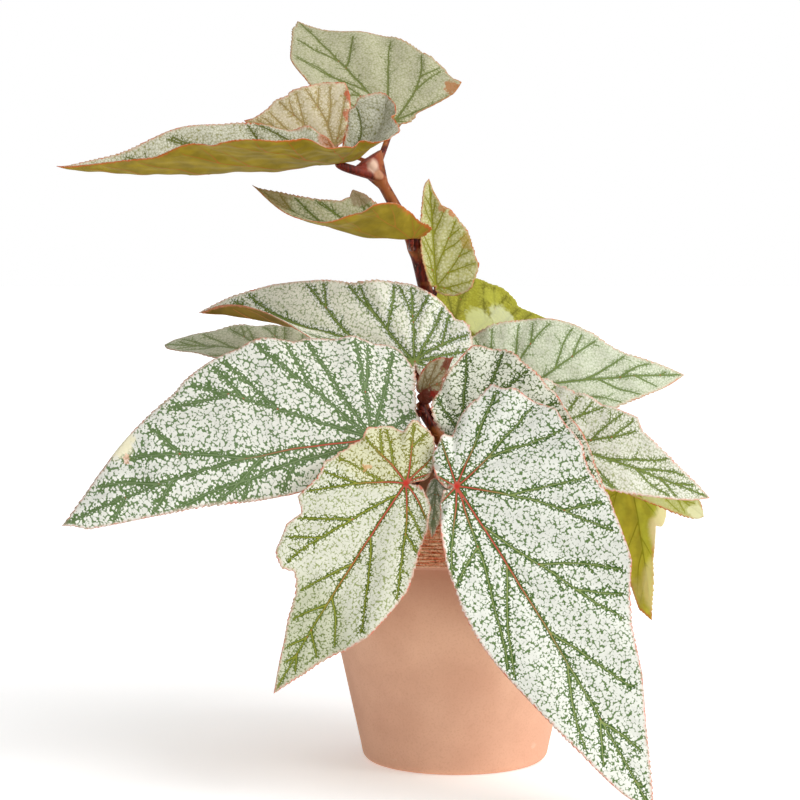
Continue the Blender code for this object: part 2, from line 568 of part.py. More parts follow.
def make_cane(name, blades, parts, looks):
    """One cane with the stalks of its leaves and its dry bracts, joined into a single body."""
    line = cane_line(name)
    cane = new_object(name, tube_mesh(name, line[:, :3], line[:, 3], 2), parts)
    growths = collection_named("growths_" + name)
    for leaf_name, leaf in LEAVES.items():
        stalk = leaf["stalk"]
        if stalk.cane != name:
            continue
        points = stalk_line(blades[leaf_name], stalk)
        shape = tube_mesh("stalk", points, [stalk.radius] * len(points), 1)
        new_object("stalk_" + leaf_name, shape, growths)
    for stipule in STIPULES[name]:
        centre, ahead = on_cane(name, stipule.height)
        heading = math.radians(stipule.heading)
        out = np.array([math.cos(heading), math.sin(heading), 0])
        shape = cone_mesh("bract", BRACT_FOOT, BRACT_TIP, stipule.length, (1, BRACT_FLATNESS), 6)
        bract = new_object("bract", shape, growths)
        lean = math.radians(BRACT_LEAN)
        place_along(bract, centre + out * BRACT_FOOT, math.cos(lean) * ahead + math.sin(lean) * out)
    if SHEATH["cane"] == name:
        centre, _ = on_cane(name, SHEATH["height"])
        ahead = Vector(SHEATH["ahead"])
        shape = cone_mesh("sheath", SHEATH["foot"], SHEATH["mouth"], ahead.length, (SHEATH["depth"], 1), 12)
        place_along(new_object("sheath", shape, growths), centre, ahead)
    join_growths(cane, growths)
    cane.data.materials.append(looks)
    cane.data.shade_smooth()


def join_growths(cane, growths):
    join = cane.modifiers.new("join", "BOOLEAN")
    join.operation = "UNION"
    join.operand_type = "COLLECTION"
    join.collection = growths
    join.solver = "EXACT"
    bpy.context.view_layer.update()
    joined = bpy.data.meshes.new_from_object(cane.evaluated_get(bpy.context.evaluated_depsgraph_get()))
    cane.modifiers.remove(join)
    cane.data = joined
    for growth in list(growths.objects):
        bpy.data.objects.remove(growth)
    bpy.data.collections.remove(growths)


def make_leaf(name, blade, colour, parts):
    """Fill the blade's flat outline with triangles, bend them and give the sheet its thickness."""
    margin = blade.margin(MARGIN_POINTS)
    inner = blade.inside(margin, blade.length / GRID_STEPS)
    flat = [Vector(point) for point in np.concatenate([margin, inner])]
    points, _, faces, *_ = delaunay_2d_cdt(flat, [], [list(range(len(margin)))], 1, 1e-6)
    points = np.array(points)
    if blade.hand < 0:
        faces = [face[::-1] for face in faces]
    mesh = bpy.data.meshes.new(name)
    mesh.from_pydata(blade.bend(points[:, 0], points[:, 1]) * MM, [], faces)
    leaf = new_object(name, mesh, parts)
    sheet = leaf.modifiers.new("thickness", "SOLIDIFY")
    sheet.thickness = BLADE_THICKNESS * MM
    sheet.offset = 0
    mesh.materials.append(material("look_" + name, colour, 0.45))
    mesh.shade_smooth()


def main():
    for left in list(bpy.data.objects):
        bpy.data.objects.remove(left)
    parts = collection_named("potted_begonia")
    cutters = collection_named("cutters")
    make_pot(parts, cutters)
    make_soil(parts, cutters)
    blades = {}
    for name, leaf in LEAVES.items():
        form = {key: value for key, value in leaf.items() if key not in ("colour", "stalk")}
        blades[name] = Blade(**form)
    for name in CANES:
        make_cane(name, blades, parts, material("look_" + name, CANE_BROWN, 0.5))
    for name, leaf in LEAVES.items():
        make_leaf(name, blades[name], leaf["colour"], parts)


main()
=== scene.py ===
"""How the potted begonia looks: speckled blades with sunken veins, glossy canes, ridged clay and soil.

Sizes are in millimetres and are turned to metres as meshes are made. A blade is worked out flat first,
with u along its midrib from the stalk's seat and v towards its broad half, and is then bent into space.
"""
import json
import math
from collections import namedtuple

import bmesh
import bpy
import numpy as np
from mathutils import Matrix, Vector
from mathutils.geometry import delaunay_2d_cdt
from mathutils.kdtree import KDTree


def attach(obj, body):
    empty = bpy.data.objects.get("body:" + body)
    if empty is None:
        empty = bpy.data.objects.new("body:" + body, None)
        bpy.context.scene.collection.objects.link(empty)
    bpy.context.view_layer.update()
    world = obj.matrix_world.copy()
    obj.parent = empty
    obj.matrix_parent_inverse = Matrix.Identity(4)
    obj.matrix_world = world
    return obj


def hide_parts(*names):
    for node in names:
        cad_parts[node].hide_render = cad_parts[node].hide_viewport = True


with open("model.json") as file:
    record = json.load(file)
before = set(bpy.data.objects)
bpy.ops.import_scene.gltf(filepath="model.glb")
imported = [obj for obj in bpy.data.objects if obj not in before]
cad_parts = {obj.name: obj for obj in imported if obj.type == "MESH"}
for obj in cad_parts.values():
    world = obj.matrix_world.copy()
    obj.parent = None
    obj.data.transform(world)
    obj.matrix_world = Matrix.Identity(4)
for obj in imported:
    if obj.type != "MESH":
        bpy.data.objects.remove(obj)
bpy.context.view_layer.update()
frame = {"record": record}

MM = 0.001

# Camera: where it stands and looks, and the lens that gives the photograph's framing
EYE = (-23.3, -1200, 259)
AIM = (-23.3, 0, 152)
LENS = 129.1

# Pot and soil, as built
POT_HEIGHT = 118
POT_BASE_RADIUS = 38.4
POT_FLARE = 0.22
POT_FLOOR = 8
POT_BASE_ROUND = 4
RIM_FOOT = 89
RIM_RADIUS = 61.5
RIM_ROUND = 2.2
RIM_FOOT_TUCK = 1.2
GROOVE_DEPTH = 0.6
GROOVE_HEIGHT = 5
POT_INNER_WALL = ((34.5, POT_FLOOR), (52.3, 88), (56.0, 96), (56.2, 115))
DRAIN_RADIUS = 3.5
DRAIN_CIRCLE = 15
DRAIN_COUNT = 3
SOIL_RADIUS = POT_INNER_WALL[2][0]
SOIL_EDGE_HEIGHT = 105.5
SOIL_MIDDLE_HEIGHT = 107.5

# Outline of a blade: distance from the stalk's seat by the angle from the midrib, as a share of the
# midrib's length. The broad half runs round behind the seat as a lobe, and the narrow half stops short.
BROAD_HALF = ((0, 1.0), (4, 0.89), (8, 0.80), (15, 0.69), (23, 0.62), (32, 0.555), (43, 0.495), (55, 0.44),
              (68, 0.39), (80, 0.36), (105, 0.335), (125, 0.30), (138, 0.255), (152, 0.21), (175, 0.175),
              (200, 0.135), (225, 0.08), (242, 0.02))
NARROW_HALF = ((0, 1.0), (4, 0.89), (8, 0.775), (14, 0.65), (20, 0.56), (28, 0.45), (36, 0.345), (45, 0.25),
               (58, 0.175), (75, 0.125), (95, 0.07), (118, 0.02))
BROAD_END = BROAD_HALF[-1][0]
NARROW_END = -NARROW_HALF[-1][0]
# How many points trace its narrow and its broad half, how fast its coarse teeth and its waves follow one
# another by angle, and how high the waves stand
OUTLINE_SAMPLES = (1500, 3000)
SCALLOPS = 8.5
WAVES = (8.4, 17)
WAVE = 0.012
# What the start of a random wave is drawn from
PHASES = (0, 6.3)

# Blade meshes: the triangles' size, the sheet's thickness at the margin and inside, and the fine teeth.
# THICKENING is how far in the full thickness starts, and a blade of TOOTH_LENGTH or more has full teeth.
SPACING_SHARE = 1 / 190
SPACING_RANGE = (0.6, 0.68)
ROW_HEIGHT = 0.866
MARGIN_STEP = 0.5
MARGIN_THICKNESS = 0.3
INNER_THICKNESS = 0.62
THICKENING = 2.0
TOOTH_PITCH = 2.3
TOOTH_DEPTH = 0.7
TOOTH_LENGTH = 60

# Veins as drawn: the step along them, how near the margin they stop as a share, and the half-widths of
# their lines. The dark band of a vein from the seat, one from the midrib and a fork narrows by a share.
VEIN_STEP = 0.6
VEIN_STOP = 0.94
MIDRIB_END = 0.985
MIDRIB_LINE = 0.36
VEIN_LINE = 0.32
FORK_LINE = 0.27
SEAT_VEIN = 0.8
SIDE_VEIN = 0.7
FORK = 0.8

# Twigs along the veins: their spacing, length, half-width, distance to other veins, and how much faster
# the blade counts as open beside them
TWIG_GAP = 9.0
TWIG_LENGTH = 4.0
TWIG_HALF = 0.1
TWIG_CLEAR = 1.5
TWIG_OPENING = 3.0

# Relief: the grooves above and ribs below the veins and twigs, the swelling between veins, and low swells
GROOVE = 0.28
RIB = 0.4
GROOVE_WIDTH = 0.9
TWIG_RELIEF = 0.35
TWIG_GROOVE_WIDTH = 0.5
QUILTING = 0.5
QUILT_WIDTH = 4.5
UNDULATION = 0.3
SWELL_LENGTHS = (26, 17, 11, 7)

# A stalk leaves its cane at a height, along lead, and comes to the blade from below over approach
Stalk = namedtuple("Stalk", "cane height lead approach radius")

# Canes: centre points with the radius there, from inside the soil up to the last leaves. They swell by a
# share where a stalk leaves, a stalk is flared at its foot and thins by a share, and all are fused.
CANES = {
    "cane_main": ((2, 16, 101, 3.4), (2, 16, 110, 3.4), (0, 19, 140, 3.3), (-6, 24, 168, 3.2),
                  (-12.5, 25, 198, 3.1), (-18.5, 20, 219, 2.8), (-31, 13, 243, 2.3), (-36.5, 9, 252, 1.6)),
    "cane_right": ((12, -12, 101, 3.0), (12, -12, 108, 3.0), (11, -14, 120, 2.8), (8, -17, 136, 2.2)),
    "cane_left": ((-6, -10, 101, 3.0), (-6, -10, 108, 3.0), (-5, -12, 119, 2.8), (-5, -15, 132, 2.5),
                  (-8.5, -16, 140, 2.2), (-13, -15.5, 147, 2.0), (-15, -13, 152, 1.6)),
}
NODE_SWELLING = 0.16
NODE_LENGTH = 2.4
STALK_FLARE = 0.35
STALK_TAPER = 0.18
CANE_SIDES = 24
STALK_SIDES = 16
SHEATH_SIDES = 28
FUSE_SIZE = 0.42

# Dry bracts: where each leaves its cane, its heading from +X in degrees and its length
Bract = namedtuple("Bract", "height heading length")
BRACTS = {
    "cane_main": (Bract(148, 200, 8), Bract(192, 160, 7), Bract(215, 20, 7)),
    "cane_right": (Bract(122, 300, 6),),
    "cane_left": (Bract(122, 220, 7), Bract(130, 200, 6), Bract(134, 20, 6), Bract(139, 195, 7),
                  Bract(144, 30, 6), Bract(147, 205, 6)),
}
BRACT_LEAN = 33
BRACT_HALF_WIDTH = 3.8
BRACT_THICKNESS = 0.45

# The funnel at the tall cane's top: its foot, the way to its mouth, the radii there and its flatness
SHEATH_HEIGHT = 241
SHEATH_AHEAD = (-7, -3, 12)
SHEATH_RADII = (2.3, 7.3)
SHEATH_DEPTH = 0.4
# Tones along it, the two pale ones a painted highlight down its front: how far in front of its middle they
# lie, and how far up, radius, strength and colour
SHEATH_FRONT = (1.0, -3.0, 0.0)
SHEATH_TONES_AND_HIGHLIGHT = ((1.05, 8.0, 0.7, (150, 56, 34)), (0.1, 5.0, 0.6, (168, 92, 48)),
                (0.75, 3.4, 0.9, (232, 196, 172)), (0.45, 2.6, 0.7, (214, 158, 120)))

# Leaves: the stalk's seat and the tip, the way that the upper side faces, and how the blade is formed.
# hand is 1 where the broad half lies to the left of the way to the tip, seen from the upper side. arch
# bows the midrib and sweep bends it sideways. fold lifts the broad and the narrow half, in degrees, and
# fold_end does so at the tip. fold_behind is the share of it behind the seat, which roll curls up. broad,
# narrow, lobe and wrap widen parts of the outline, and width all of it. scallop is the depth of its coarse
# teeth, and form scales its radius by the angle from the midrib.
LEAVES = {
    "leaf_front_right": dict(
        base=(-1, -80, 125), tip=(74, -120, 3.2), faces=(0.1, -1, 0.35), hand=1, arch=0.05, fold=(6, 6),
        broad=0.95, narrow=0.82, lobe=1.07, wrap=0.8, scallop=-0.03, seed=1,
        form=(
            (-80, 0.6), (-60, 0.66), (-40, 0.88), (-24, 0.98), (0, 1), (9, 0.98), (20, 0.95), (45, 0.96),
            (58, 0.94), (84, 1), (124, 1), (131, 1.11), (136, 1.02), (146, 0.98), (153, 0.82), (165, 0.9),
            (180, 0.86), (200, 0.7)),
        stalk=Stalk("cane_right", 123, (-6, -22, 4), 22, 1.5)),
    "leaf_front_centre": dict(
        base=(-21, -74, 125.5), tip=(-72.5, -98, 46), faces=(-0.1, -1, 0.35), hand=-1, arch=0.05,
        fold=(6, 6), broad=0.95, narrow=1.2, lobe=0.92, wrap=1.1, scallop=-0.05, seed=2,
        form=(
            (-30, 1), (-20, 1.06), (-12, 1), (0, 1), (5, 0.94), (12, 0.89), (18, 0.92), (22, 1.02),
            (27, 1.05), (38, 1.05), (41, 0.93), (50, 0.98), (62, 0.93), (84, 0.93), (88, 0.87),
            (104, 0.87), (110, 0.93), (127, 1.06), (145, 1.1), (152, 1.4), (166, 1.5), (182, 1.35),
            (205, 1.15), (240, 1)),
        stalk=Stalk("cane_left", 122, (-4, -20, 12), 20, 1.3)),
    "leaf_left_large": dict(
        base=(-34, -48, 140), tip=(-158, -66, 107.5), faces=(0, -0.75, 0.65), hand=-1, arch=0.08,
        fold=(4, -22), fold_end=(4, -60), narrow=0.7, lobe=0.95, width=1.2, sweep=0.008, seed=3,
        form=(
            (-60, 0.75), (-20, 0.73), (-10, 0.84), (-6, 0.93), (-3, 1.02), (0, 1), (6, 1.02), (28, 1.02),
            (34, 1), (42, 0.99), (60, 0.94), (100, 0.97), (110, 1.08), (122, 1.2), (132, 1.2),
            (140, 0.98), (240, 1)),
        stalk=Stalk("cane_left", 130, (-10, -10, 2), 14, 1.4)),
    "leaf_rear_left": dict(
        base=(-17, 2, 168), tip=(-109.5, 28, 187), faces=(0, -0.9, 0.45), hand=-1, arch=0.03,
        fold=(4, 10), fold_end=(4, 122), broad=0.86, narrow=0.8, lobe=0.85, wrap=1.45, width=1.08,
        sweep=0.03, seed=4,
        form=(
            (0, 1), (6, 1.05), (13, 1.06), (20, 1.01), (32, 0.91), (50, 0.92), (62, 0.96), (90, 1),
            (115, 1.05), (128, 1.37), (142, 1.36), (155, 1.2), (175, 1)),
        stalk=Stalk("cane_left", 138, (-6, 2, 14), 8, 1.3)),
    "leaf_far_left": dict(
        base=(-71, 40, 166), tip=(-127, 60, 171), faces=(0, -0.45, 0.9), hand=-1, arch=0.04, fold=(6, 6),
        seed=5,
        form=((-30, 1), (-9, 1.1), (-4, 1.07), (0, 1), (4, 1.07), (9, 1.08), (30, 1)),
        stalk=Stalk("cane_main", 120, (-20, 8, 20), 8, 1.0)),
    "leaf_inner_right": dict(
        base=(2.5, -56, 141.5), tip=(67, -72, 84), faces=(0.1, -1, 0.35), hand=1, arch=0.04, fold=(6, 6),
        broad=1.12, lobe=1.15, wrap=1.1, seed=6,
        form=(
            (0, 1), (20, 1), (40, 0.97), (60, 1), (70, 1.09), (90, 1.1), (110, 1.16), (126, 1.2),
            (138, 1.1), (150, 1.02), (165, 0.93), (180, 0.88), (205, 0.6), (240, 0.5)),
        stalk=Stalk("cane_right", 134, (-2, -12, 8), 12, 1.2)),
    "leaf_right_upper": dict(
        base=(19, 16, 154), tip=(99, 31, 160), faces=(0, -0.85, 0.5), hand=1, arch=0.05, fold=(4, 6),
        lobe=0.92, wrap=0.8, width=1.12, seed=7,
        form=((0, 1), (5, 0.97), (10, 0.93), (24, 0.97), (40, 0.95), (60, 0.95), (80, 0.98), (100, 1)),
        stalk=Stalk("cane_main", 136, (10, 4, 6), 8, 1.2)),
    "leaf_right_lower": dict(
        base=(33.5, -16, 138), tip=(105, -20, 113), faces=(0.1, -0.9, 0.4), hand=1, arch=0.05,
        fold=(4, 6), broad=0.8, narrow=0.8, lobe=1.35, width=1.08, seed=8,
        form=((0, 1), (20, 1.01), (28, 1.13), (34, 1.08), (44, 1)),
        stalk=Stalk("cane_right", 128, (10, 2, 8), 8, 1.3)),
    "leaf_right_hanging": dict(
        base=(73.5, 42, 131), tip=(88.5, 60, 48.5), faces=(0.3, 1, 0.3), hand=1, fold=(6, 20),
        narrow=0.25, seed=9,
        form=(
            (-60, 1), (-30, 1.45), (-22, 1.5), (-13, 1.05), (-10, 0.85), (-4, 0.8), (-1, 0.95), (0, 1),
            (4, 1.06), (8, 0.96), (15, 1)),
        stalk=Stalk("cane_main", 118, (16, 8, 20), 12, 1.1)),
    "leaf_right_under": dict(
        base=(50.5, 24, 138), tip=(107.5, 27, 99), faces=(0.1, -0.9, 0.4), hand=1, arch=0.05, fold=(4, 6),
        broad=0.72, narrow=0.8, seed=10,
        form=((-30, 1), (-8, 1.1), (-3, 1.05), (0, 1), (4, 1.06), (9, 1.06), (20, 1)),
        stalk=Stalk("cane_main", 126, (18, 4, 10), 8, 1.1)),
    "leaf_rear_right": dict(
        base=(-0.5, 48, 172), tip=(45.5, 98, 179), faces=(0, -0.8, 0.5), hand=1, fold=(6, 10), broad=1.1,
        seed=11,
        form=((0, 1), (11, 1), (14, 1.07), (34, 1.14), (42, 1.14), (55, 1)),
        stalk=Stalk("cane_main", 148, (2, 13, 8), 11, 1.0)),
    "leaf_stem_upright": dict(
        base=(-8, 14, 199), tip=(-11, 20, 244.5), faces=(0, -1, 0), hand=-1, arch=0.02, fold=(15, 30),
        broad=1.1, narrow=0.5, lobe=0.75, wrap=0.6, seed=12,
        form=(
            (-4, 1.05), (0, 1), (2, 0.95), (8, 0.92), (15, 1), (58, 0.98), (67, 1.08), (80, 1.03), (95, 1),
            (112, 0.8), (130, 0.6), (240, 0.6)),
        stalk=Stalk("cane_main", 192, (3, -3, 1), 3, 1.2)),
    "leaf_stem_left": dict(
        base=(-18.5, 0, 220), tip=(-84.5, -8, 242), faces=(0, 0, 1), hand=1, arch=-0.09, fold=(48, 75),
        fold_end=(-30, 70), fold_behind=1, lobe=0.75, wrap=0.7, seed=13,
        form=(
            (-60, 1), (-46, 1.1), (-41, 1.4), (-36, 1.42), (-31, 1.15), (-24, 1), (0, 1), (40, 1.05),
            (58, 1.35), (70, 1.05), (80, 0.7), (100, 0.6), (125, 0.6), (138, 0.85), (146, 0.9),
            (156, 0.6), (240, 0.5)),
        stalk=Stalk("cane_main", 215, (-3, -8, 0), 5, 1.3)),
    "leaf_top_left": dict(
        base=(-49, 2, 251.5), tip=(-165.5, -8, 250), faces=(0, 0, 1), hand=1, arch=-0.03, fold=(13, 78),
        fold_end=(26, 50), fold_behind=1, lobe=1.05, wrap=1.9, roll=85, seed=14,
        form=(
            (0, 1), (30, 1), (42, 1.15), (56, 1.15), (66, 0.95), (78, 0.9), (90, 0.82), (98, 0.76),
            (110, 0.66), (118, 0.76), (126, 0.98), (135, 1.03), (146, 0.93), (155, 0.84), (168, 0.8),
            (178, 0.9), (186, 1.02), (200, 1.12), (215, 1.25), (240, 1.3)),
        stalk=Stalk("cane_main", 245, (-5, -4, 2), 2, 2.2)),
    "leaf_top_back": dict(
        base=(-26.5, 30, 268.5), tip=(-68.5, 76, 313), faces=(0, -0.64, 0.77), hand=-1, arch=0.03,
        fold=(6, 10), broad=1.32, narrow=1.4, lobe=0.55, wrap=0.8, seed=15,
        form=(
            (-30, 1), (-20, 1.05), (-12, 1.08), (-4, 1.06), (0, 1), (5, 0.95), (25, 0.93), (50, 0.9),
            (62, 0.93), (80, 1.06), (86, 1.18), (92, 1.05), (100, 0.45), (130, 0.35), (240, 0.4)),
        stalk=Stalk("cane_main", 247, (1, 3, 5), 7, 1.5)),
    "leaf_top_cream": dict(
        base=(-51.5, 19, 258.5), tip=(-90, 33, 269), faces=(0.25, -0.95, 0.25), hand=-1, arch=0.03,
        fold=(6, 10), broad=1.5, narrow=0.8, lobe=0.4, wrap=0.6, seed=16,
        form=(
            (0, 1), (20, 0.98), (30, 0.9), (42, 0.95), (60, 1.08), (70, 1.16), (80, 1.35), (88, 1.25),
            (98, 0.95), (110, 0.75), (240, 0.7)),
        stalk=Stalk("cane_main", 251, (-2, 5, 1), 3, 1.0)),
    "leaf_centre_young": dict(
        base=(-14.5, -16, 156), tip=(-1, -9, 171), faces=(0.3, -1, 0.2), hand=-1, fold=(15, 25),
        broad=1.5, narrow=2.0, seed=17,
        form=((-100, 1), (-47, 1), (-29, 0.8), (0, 1), (15, 0.62), (37, 0.5), (240, 0.45)),
        stalk=Stalk("cane_left", 151, (0, 1, 2), 2, 0.8)),
    "leaf_rim_shaded": dict(
        base=(-9, -70, 127), tip=(-10.5, -70, 103), faces=(0, -1, 0), hand=1, arch=0.03, fold=(6, 10),
        broad=0.8, width=0.85, seed=18, stalk=Stalk("cane_left", 115, (-1, -22, 6), 14, 0.9)),
}

# A vein leaves the midrib at a share of its length (0 is the seat) with a heading in degrees from the
# midrib, + towards the broad half, and turns by bend before the margin. A fork leaves it at a share of
# the vein, with its own heading and bend.
Vein = namedtuple("Vein", "at heading bend forks")


def vein(at, heading, bend=0, *forks):
    return Vein(at, heading, bend, forks)


NARROW_VEINS = (
    vein(0, -10, -12, (0.35, -58, 0)), vein(0.26, -32, 10), vein(0.56, -27, 12), vein(0.74, -25, -6),
    vein(0, -38, 4), vein(0, -75))
PLAIN_VEINS = (
    vein(0, 163), vein(0, 215), vein(0, 131, -6), vein(0, 100, 14, (0.38, 78, 0)),
    vein(0, 54, -20, (0.34, 76, -6), (0.68, 70, 0)), vein(0.13, 23, 6, (0.42, 63, -15), (0.68, 56, 0)),
    vein(0.45, 23, 5), vein(0.66, 30, -18), vein(0.82, 20), *NARROW_VEINS)
VEINS = {
    "leaf_front_centre": (
        vein(0.06, 31, -10, (0.41, 58, 0), (0.70, 62, 0)), vein(0, 60, -14, (0.22, 84, 5), (0.50, 78, 0)),
        vein(0, 116, -20, (0.35, 144, -10), (0.62, 139, 0)), vein(0, 161, -12, (0.65, 191, 0)),
        vein(0, 193, -7), vein(0, 205, 20), vein(0, 238), vein(0.395, 27, 8), vein(0.59, 34, 2),
        vein(0.74, 35), vein(0.83, 34), vein(0, -34, 11, (0.2, -57, 0), (0.45, -63, 0)),
        vein(0.265, -34, 13), vein(0.554, -42, 13), vein(0.71, -42), vein(0.82, -32), vein(0, -65, 11)),
    "leaf_left_large": (
        vein(0, 24, 8, (0.53, 60, -10), (0.72, 60, 0), (0.8, 3, 0)), vein(0, 52, -3, (0.55, 78, 0)),
        vein(0, 72), vein(0, 97, 0, (0.5, 112, 0)), vein(0, 119), vein(0, 150), vein(0, 182),
        vein(0.40, 20, -7, (0.55, 58, 0)), vein(0.68, 24, -12),
        vein(0, -9, 4, (0.40, -50, 0), (0.62, -50, 0)), vein(0.345, -39, 20), vein(0.63, -33, -6),
        vein(0.79, -40)),
    "leaf_rear_left": (
        vein(0, 66, 4, (0.62, 44, 0), (0.55, 107, 0)), vein(0, 105, -13), vein(0, 122, 20, (0.55, 84, 0)),
        vein(0, 148), vein(0, 180), vein(0, 20, 38, (0.45, 80, 0), (0.62, 30, 0)),
        vein(0.28, 30, 6, (0.6, 69, 0)), vein(0.5, 8, 22), vein(0.72, 25), *NARROW_VEINS),
    "leaf_top_back": (
        vein(0, 23, 20), vein(0.485, 46, -6), vein(0, 74, -38, (0.5, 77, 0), (0.7, 88, 0)),
        vein(0, 95, -5), vein(0, 120), vein(0, 160), *NARROW_VEINS[:3], *NARROW_VEINS[4:]),
}

# How a leaf is coloured, in 8-bit screen colours. field is the green between the pale spots, band the dark
# stripe along a vein, line the vein itself, pale the spots and edge the margin. half is the band's
# half-width at the seat. under and rib are the underside and its veins. red_share and side_red are how far
# the midrib and the veins from the seat run red, as shares of the blade's length. spot is the spots' size,
# gap half the width of what shows between them and soft how soft their edges are.
Look = namedtuple("Look", "field band line pale edge half under rib red_share spot gap soft side_red",
                  defaults=(0.6, 1.0, 0.07, 0.08, 0.0))
OLIVE = (150, 138, 30)
RUST = (188, 86, 30)
ROSE = (216, 124, 100)
RED_VEIN = (190, 84, 66)
RED_SEAT = (194, 48, 34)
LEAF_GLOSS = 0.2
LOOKS = {
    "leaf_front_right": Look(
        (98, 124, 72), (60, 92, 32), (136, 152, 86), (232, 233, 223), ROSE, 0.28, OLIVE, RUST, 0.6, 1.3,
        0.02, 0.08, 0.14),
    "leaf_front_centre": Look(
        (154, 164, 108), (78, 98, 12), (140, 148, 50), (224, 224, 206), ROSE, 0.2, (186, 184, 80), RUST,
        0.7, 1.05, -0.03, 0.1, 0.22),
    "leaf_left_large": Look(
        (106, 130, 86), (90, 116, 64), (116, 138, 92), (230, 230, 220), (206, 140, 116), 0.26, OLIVE,
        RUST, 0.45, 1.5, 0.15, 0.08),
    "leaf_rear_left": Look(
        (166, 178, 132), (92, 118, 46), (132, 150, 78), (250, 250, 236), (216, 134, 104), 0.28,
        (122, 96, 14), (190, 116, 50), 0.0, 1.1, 0.02, 0.2),
    "leaf_far_left": Look(
        (172, 180, 140), (130, 146, 92), (140, 156, 98), (220, 220, 198), (190, 150, 124), 0.5, OLIVE,
        RUST, 0.0, 1.1, 0.06, 0.5),
    "leaf_inner_right": Look(
        (96, 114, 60), (64, 88, 34), (104, 122, 56), (228, 229, 212), (214, 108, 78), 0.4, OLIVE, RUST,
        0.0, 1.2, 0.06),
    "leaf_right_upper": Look(
        (172, 184, 142), (118, 140, 80), (118, 138, 70), (224, 228, 206), (210, 150, 116), 0.22,
        (178, 180, 70), RUST, 0.0, 0.9, 0.02, 0.35),
    "leaf_right_lower": Look(
        (170, 178, 132), (108, 126, 52), (118, 136, 58), (234, 234, 220), (226, 160, 138), 0.2,
        (178, 180, 70), RUST, 0.0, 1.0, 0.02, 0.25),
    # These four leaves are lit from behind: their yellow greens are partly their own colour and partly
    # painted light shining through the blade
    "leaf_right_hanging": Look(
        (180, 180, 60), (156, 156, 30), (138, 138, 10), (204, 200, 120), RUST, 0.9, (176, 178, 46),
        (132, 136, 2), 0.0, 1.5, 0.1, 0.9),
    "leaf_right_under": Look(
        (170, 172, 94), (154, 156, 56), (140, 144, 34), (184, 184, 128), RUST, 0.7, (186, 184, 70),
        (138, 138, 14), 0.0, 1.2, 0.1, 0.8),
    "leaf_rear_right": Look(
        (138, 134, 10), (110, 106, 0), (118, 116, 0), (164, 162, 46), (190, 176, 90), 1.0, (170, 166, 40),
        (132, 128, 6), 0.0, 1.5, 0.1, 0.9),
    "leaf_stem_upright": Look(
        (184, 180, 92), (152, 150, 42), (142, 144, 36), (216, 214, 170), (200, 116, 66), 0.7,
        (162, 152, 46), RUST, 0.0, 1.3, 0.1, 0.8),
    "leaf_stem_left": Look(
        (150, 154, 94), (96, 110, 38), (108, 122, 48), (210, 206, 178), (198, 92, 44), 0.5,
        (154, 132, 30), (172, 116, 40), 0.0, 1.2, 0.06, 0.6),
    "leaf_top_left": Look(
        (146, 144, 86), (104, 108, 40), (112, 118, 52), (224, 222, 204), (196, 88, 36), 0.5,
        (146, 124, 14), (172, 96, 24), 0.0, 1.0, 0.05, 0.4),
    "leaf_top_back": Look(
        (150, 152, 104), (112, 120, 58), (116, 126, 60), (200, 197, 168), (188, 116, 64), 0.4,
        (156, 138, 36), RUST, 0.0, 1.0, 0.05, 0.5),
    "leaf_top_cream": Look(
        (214, 200, 150), (184, 164, 100), (184, 158, 100), (240, 228, 202), (200, 92, 50), 0.4,
        (184, 148, 66), RUST, 0.0, 1.1, 0.06, 0.5),
    "leaf_centre_young": Look(
        (156, 148, 112), (128, 112, 72), (128, 108, 66), (180, 174, 148), (176, 44, 22), 0.5,
        (150, 60, 26), RUST, 0.0, 1.0, 0.08, 0.6),
    "leaf_rim_shaded": Look(
        (206, 214, 194), (142, 156, 130), (120, 136, 106), (242, 243, 232), (190, 110, 90), 0.5,
        (146, 152, 118), RUST, 0.0, 1.0, 0.08, 0.4),
}

# Where a leaf's greens and pale spots are tinted, the darker tint towards the tip being painted shade: flat
# place, radius, strength, green and pale colour
TINTS_AND_PAINTED_SHADE = {
    "leaf_front_centre": (((-14, 20), 24, 0.8, (132, 128, 34), (214, 212, 172)),
                          ((76, 6), 24, 0.8, (112, 128, 62), (200, 202, 172))),
}
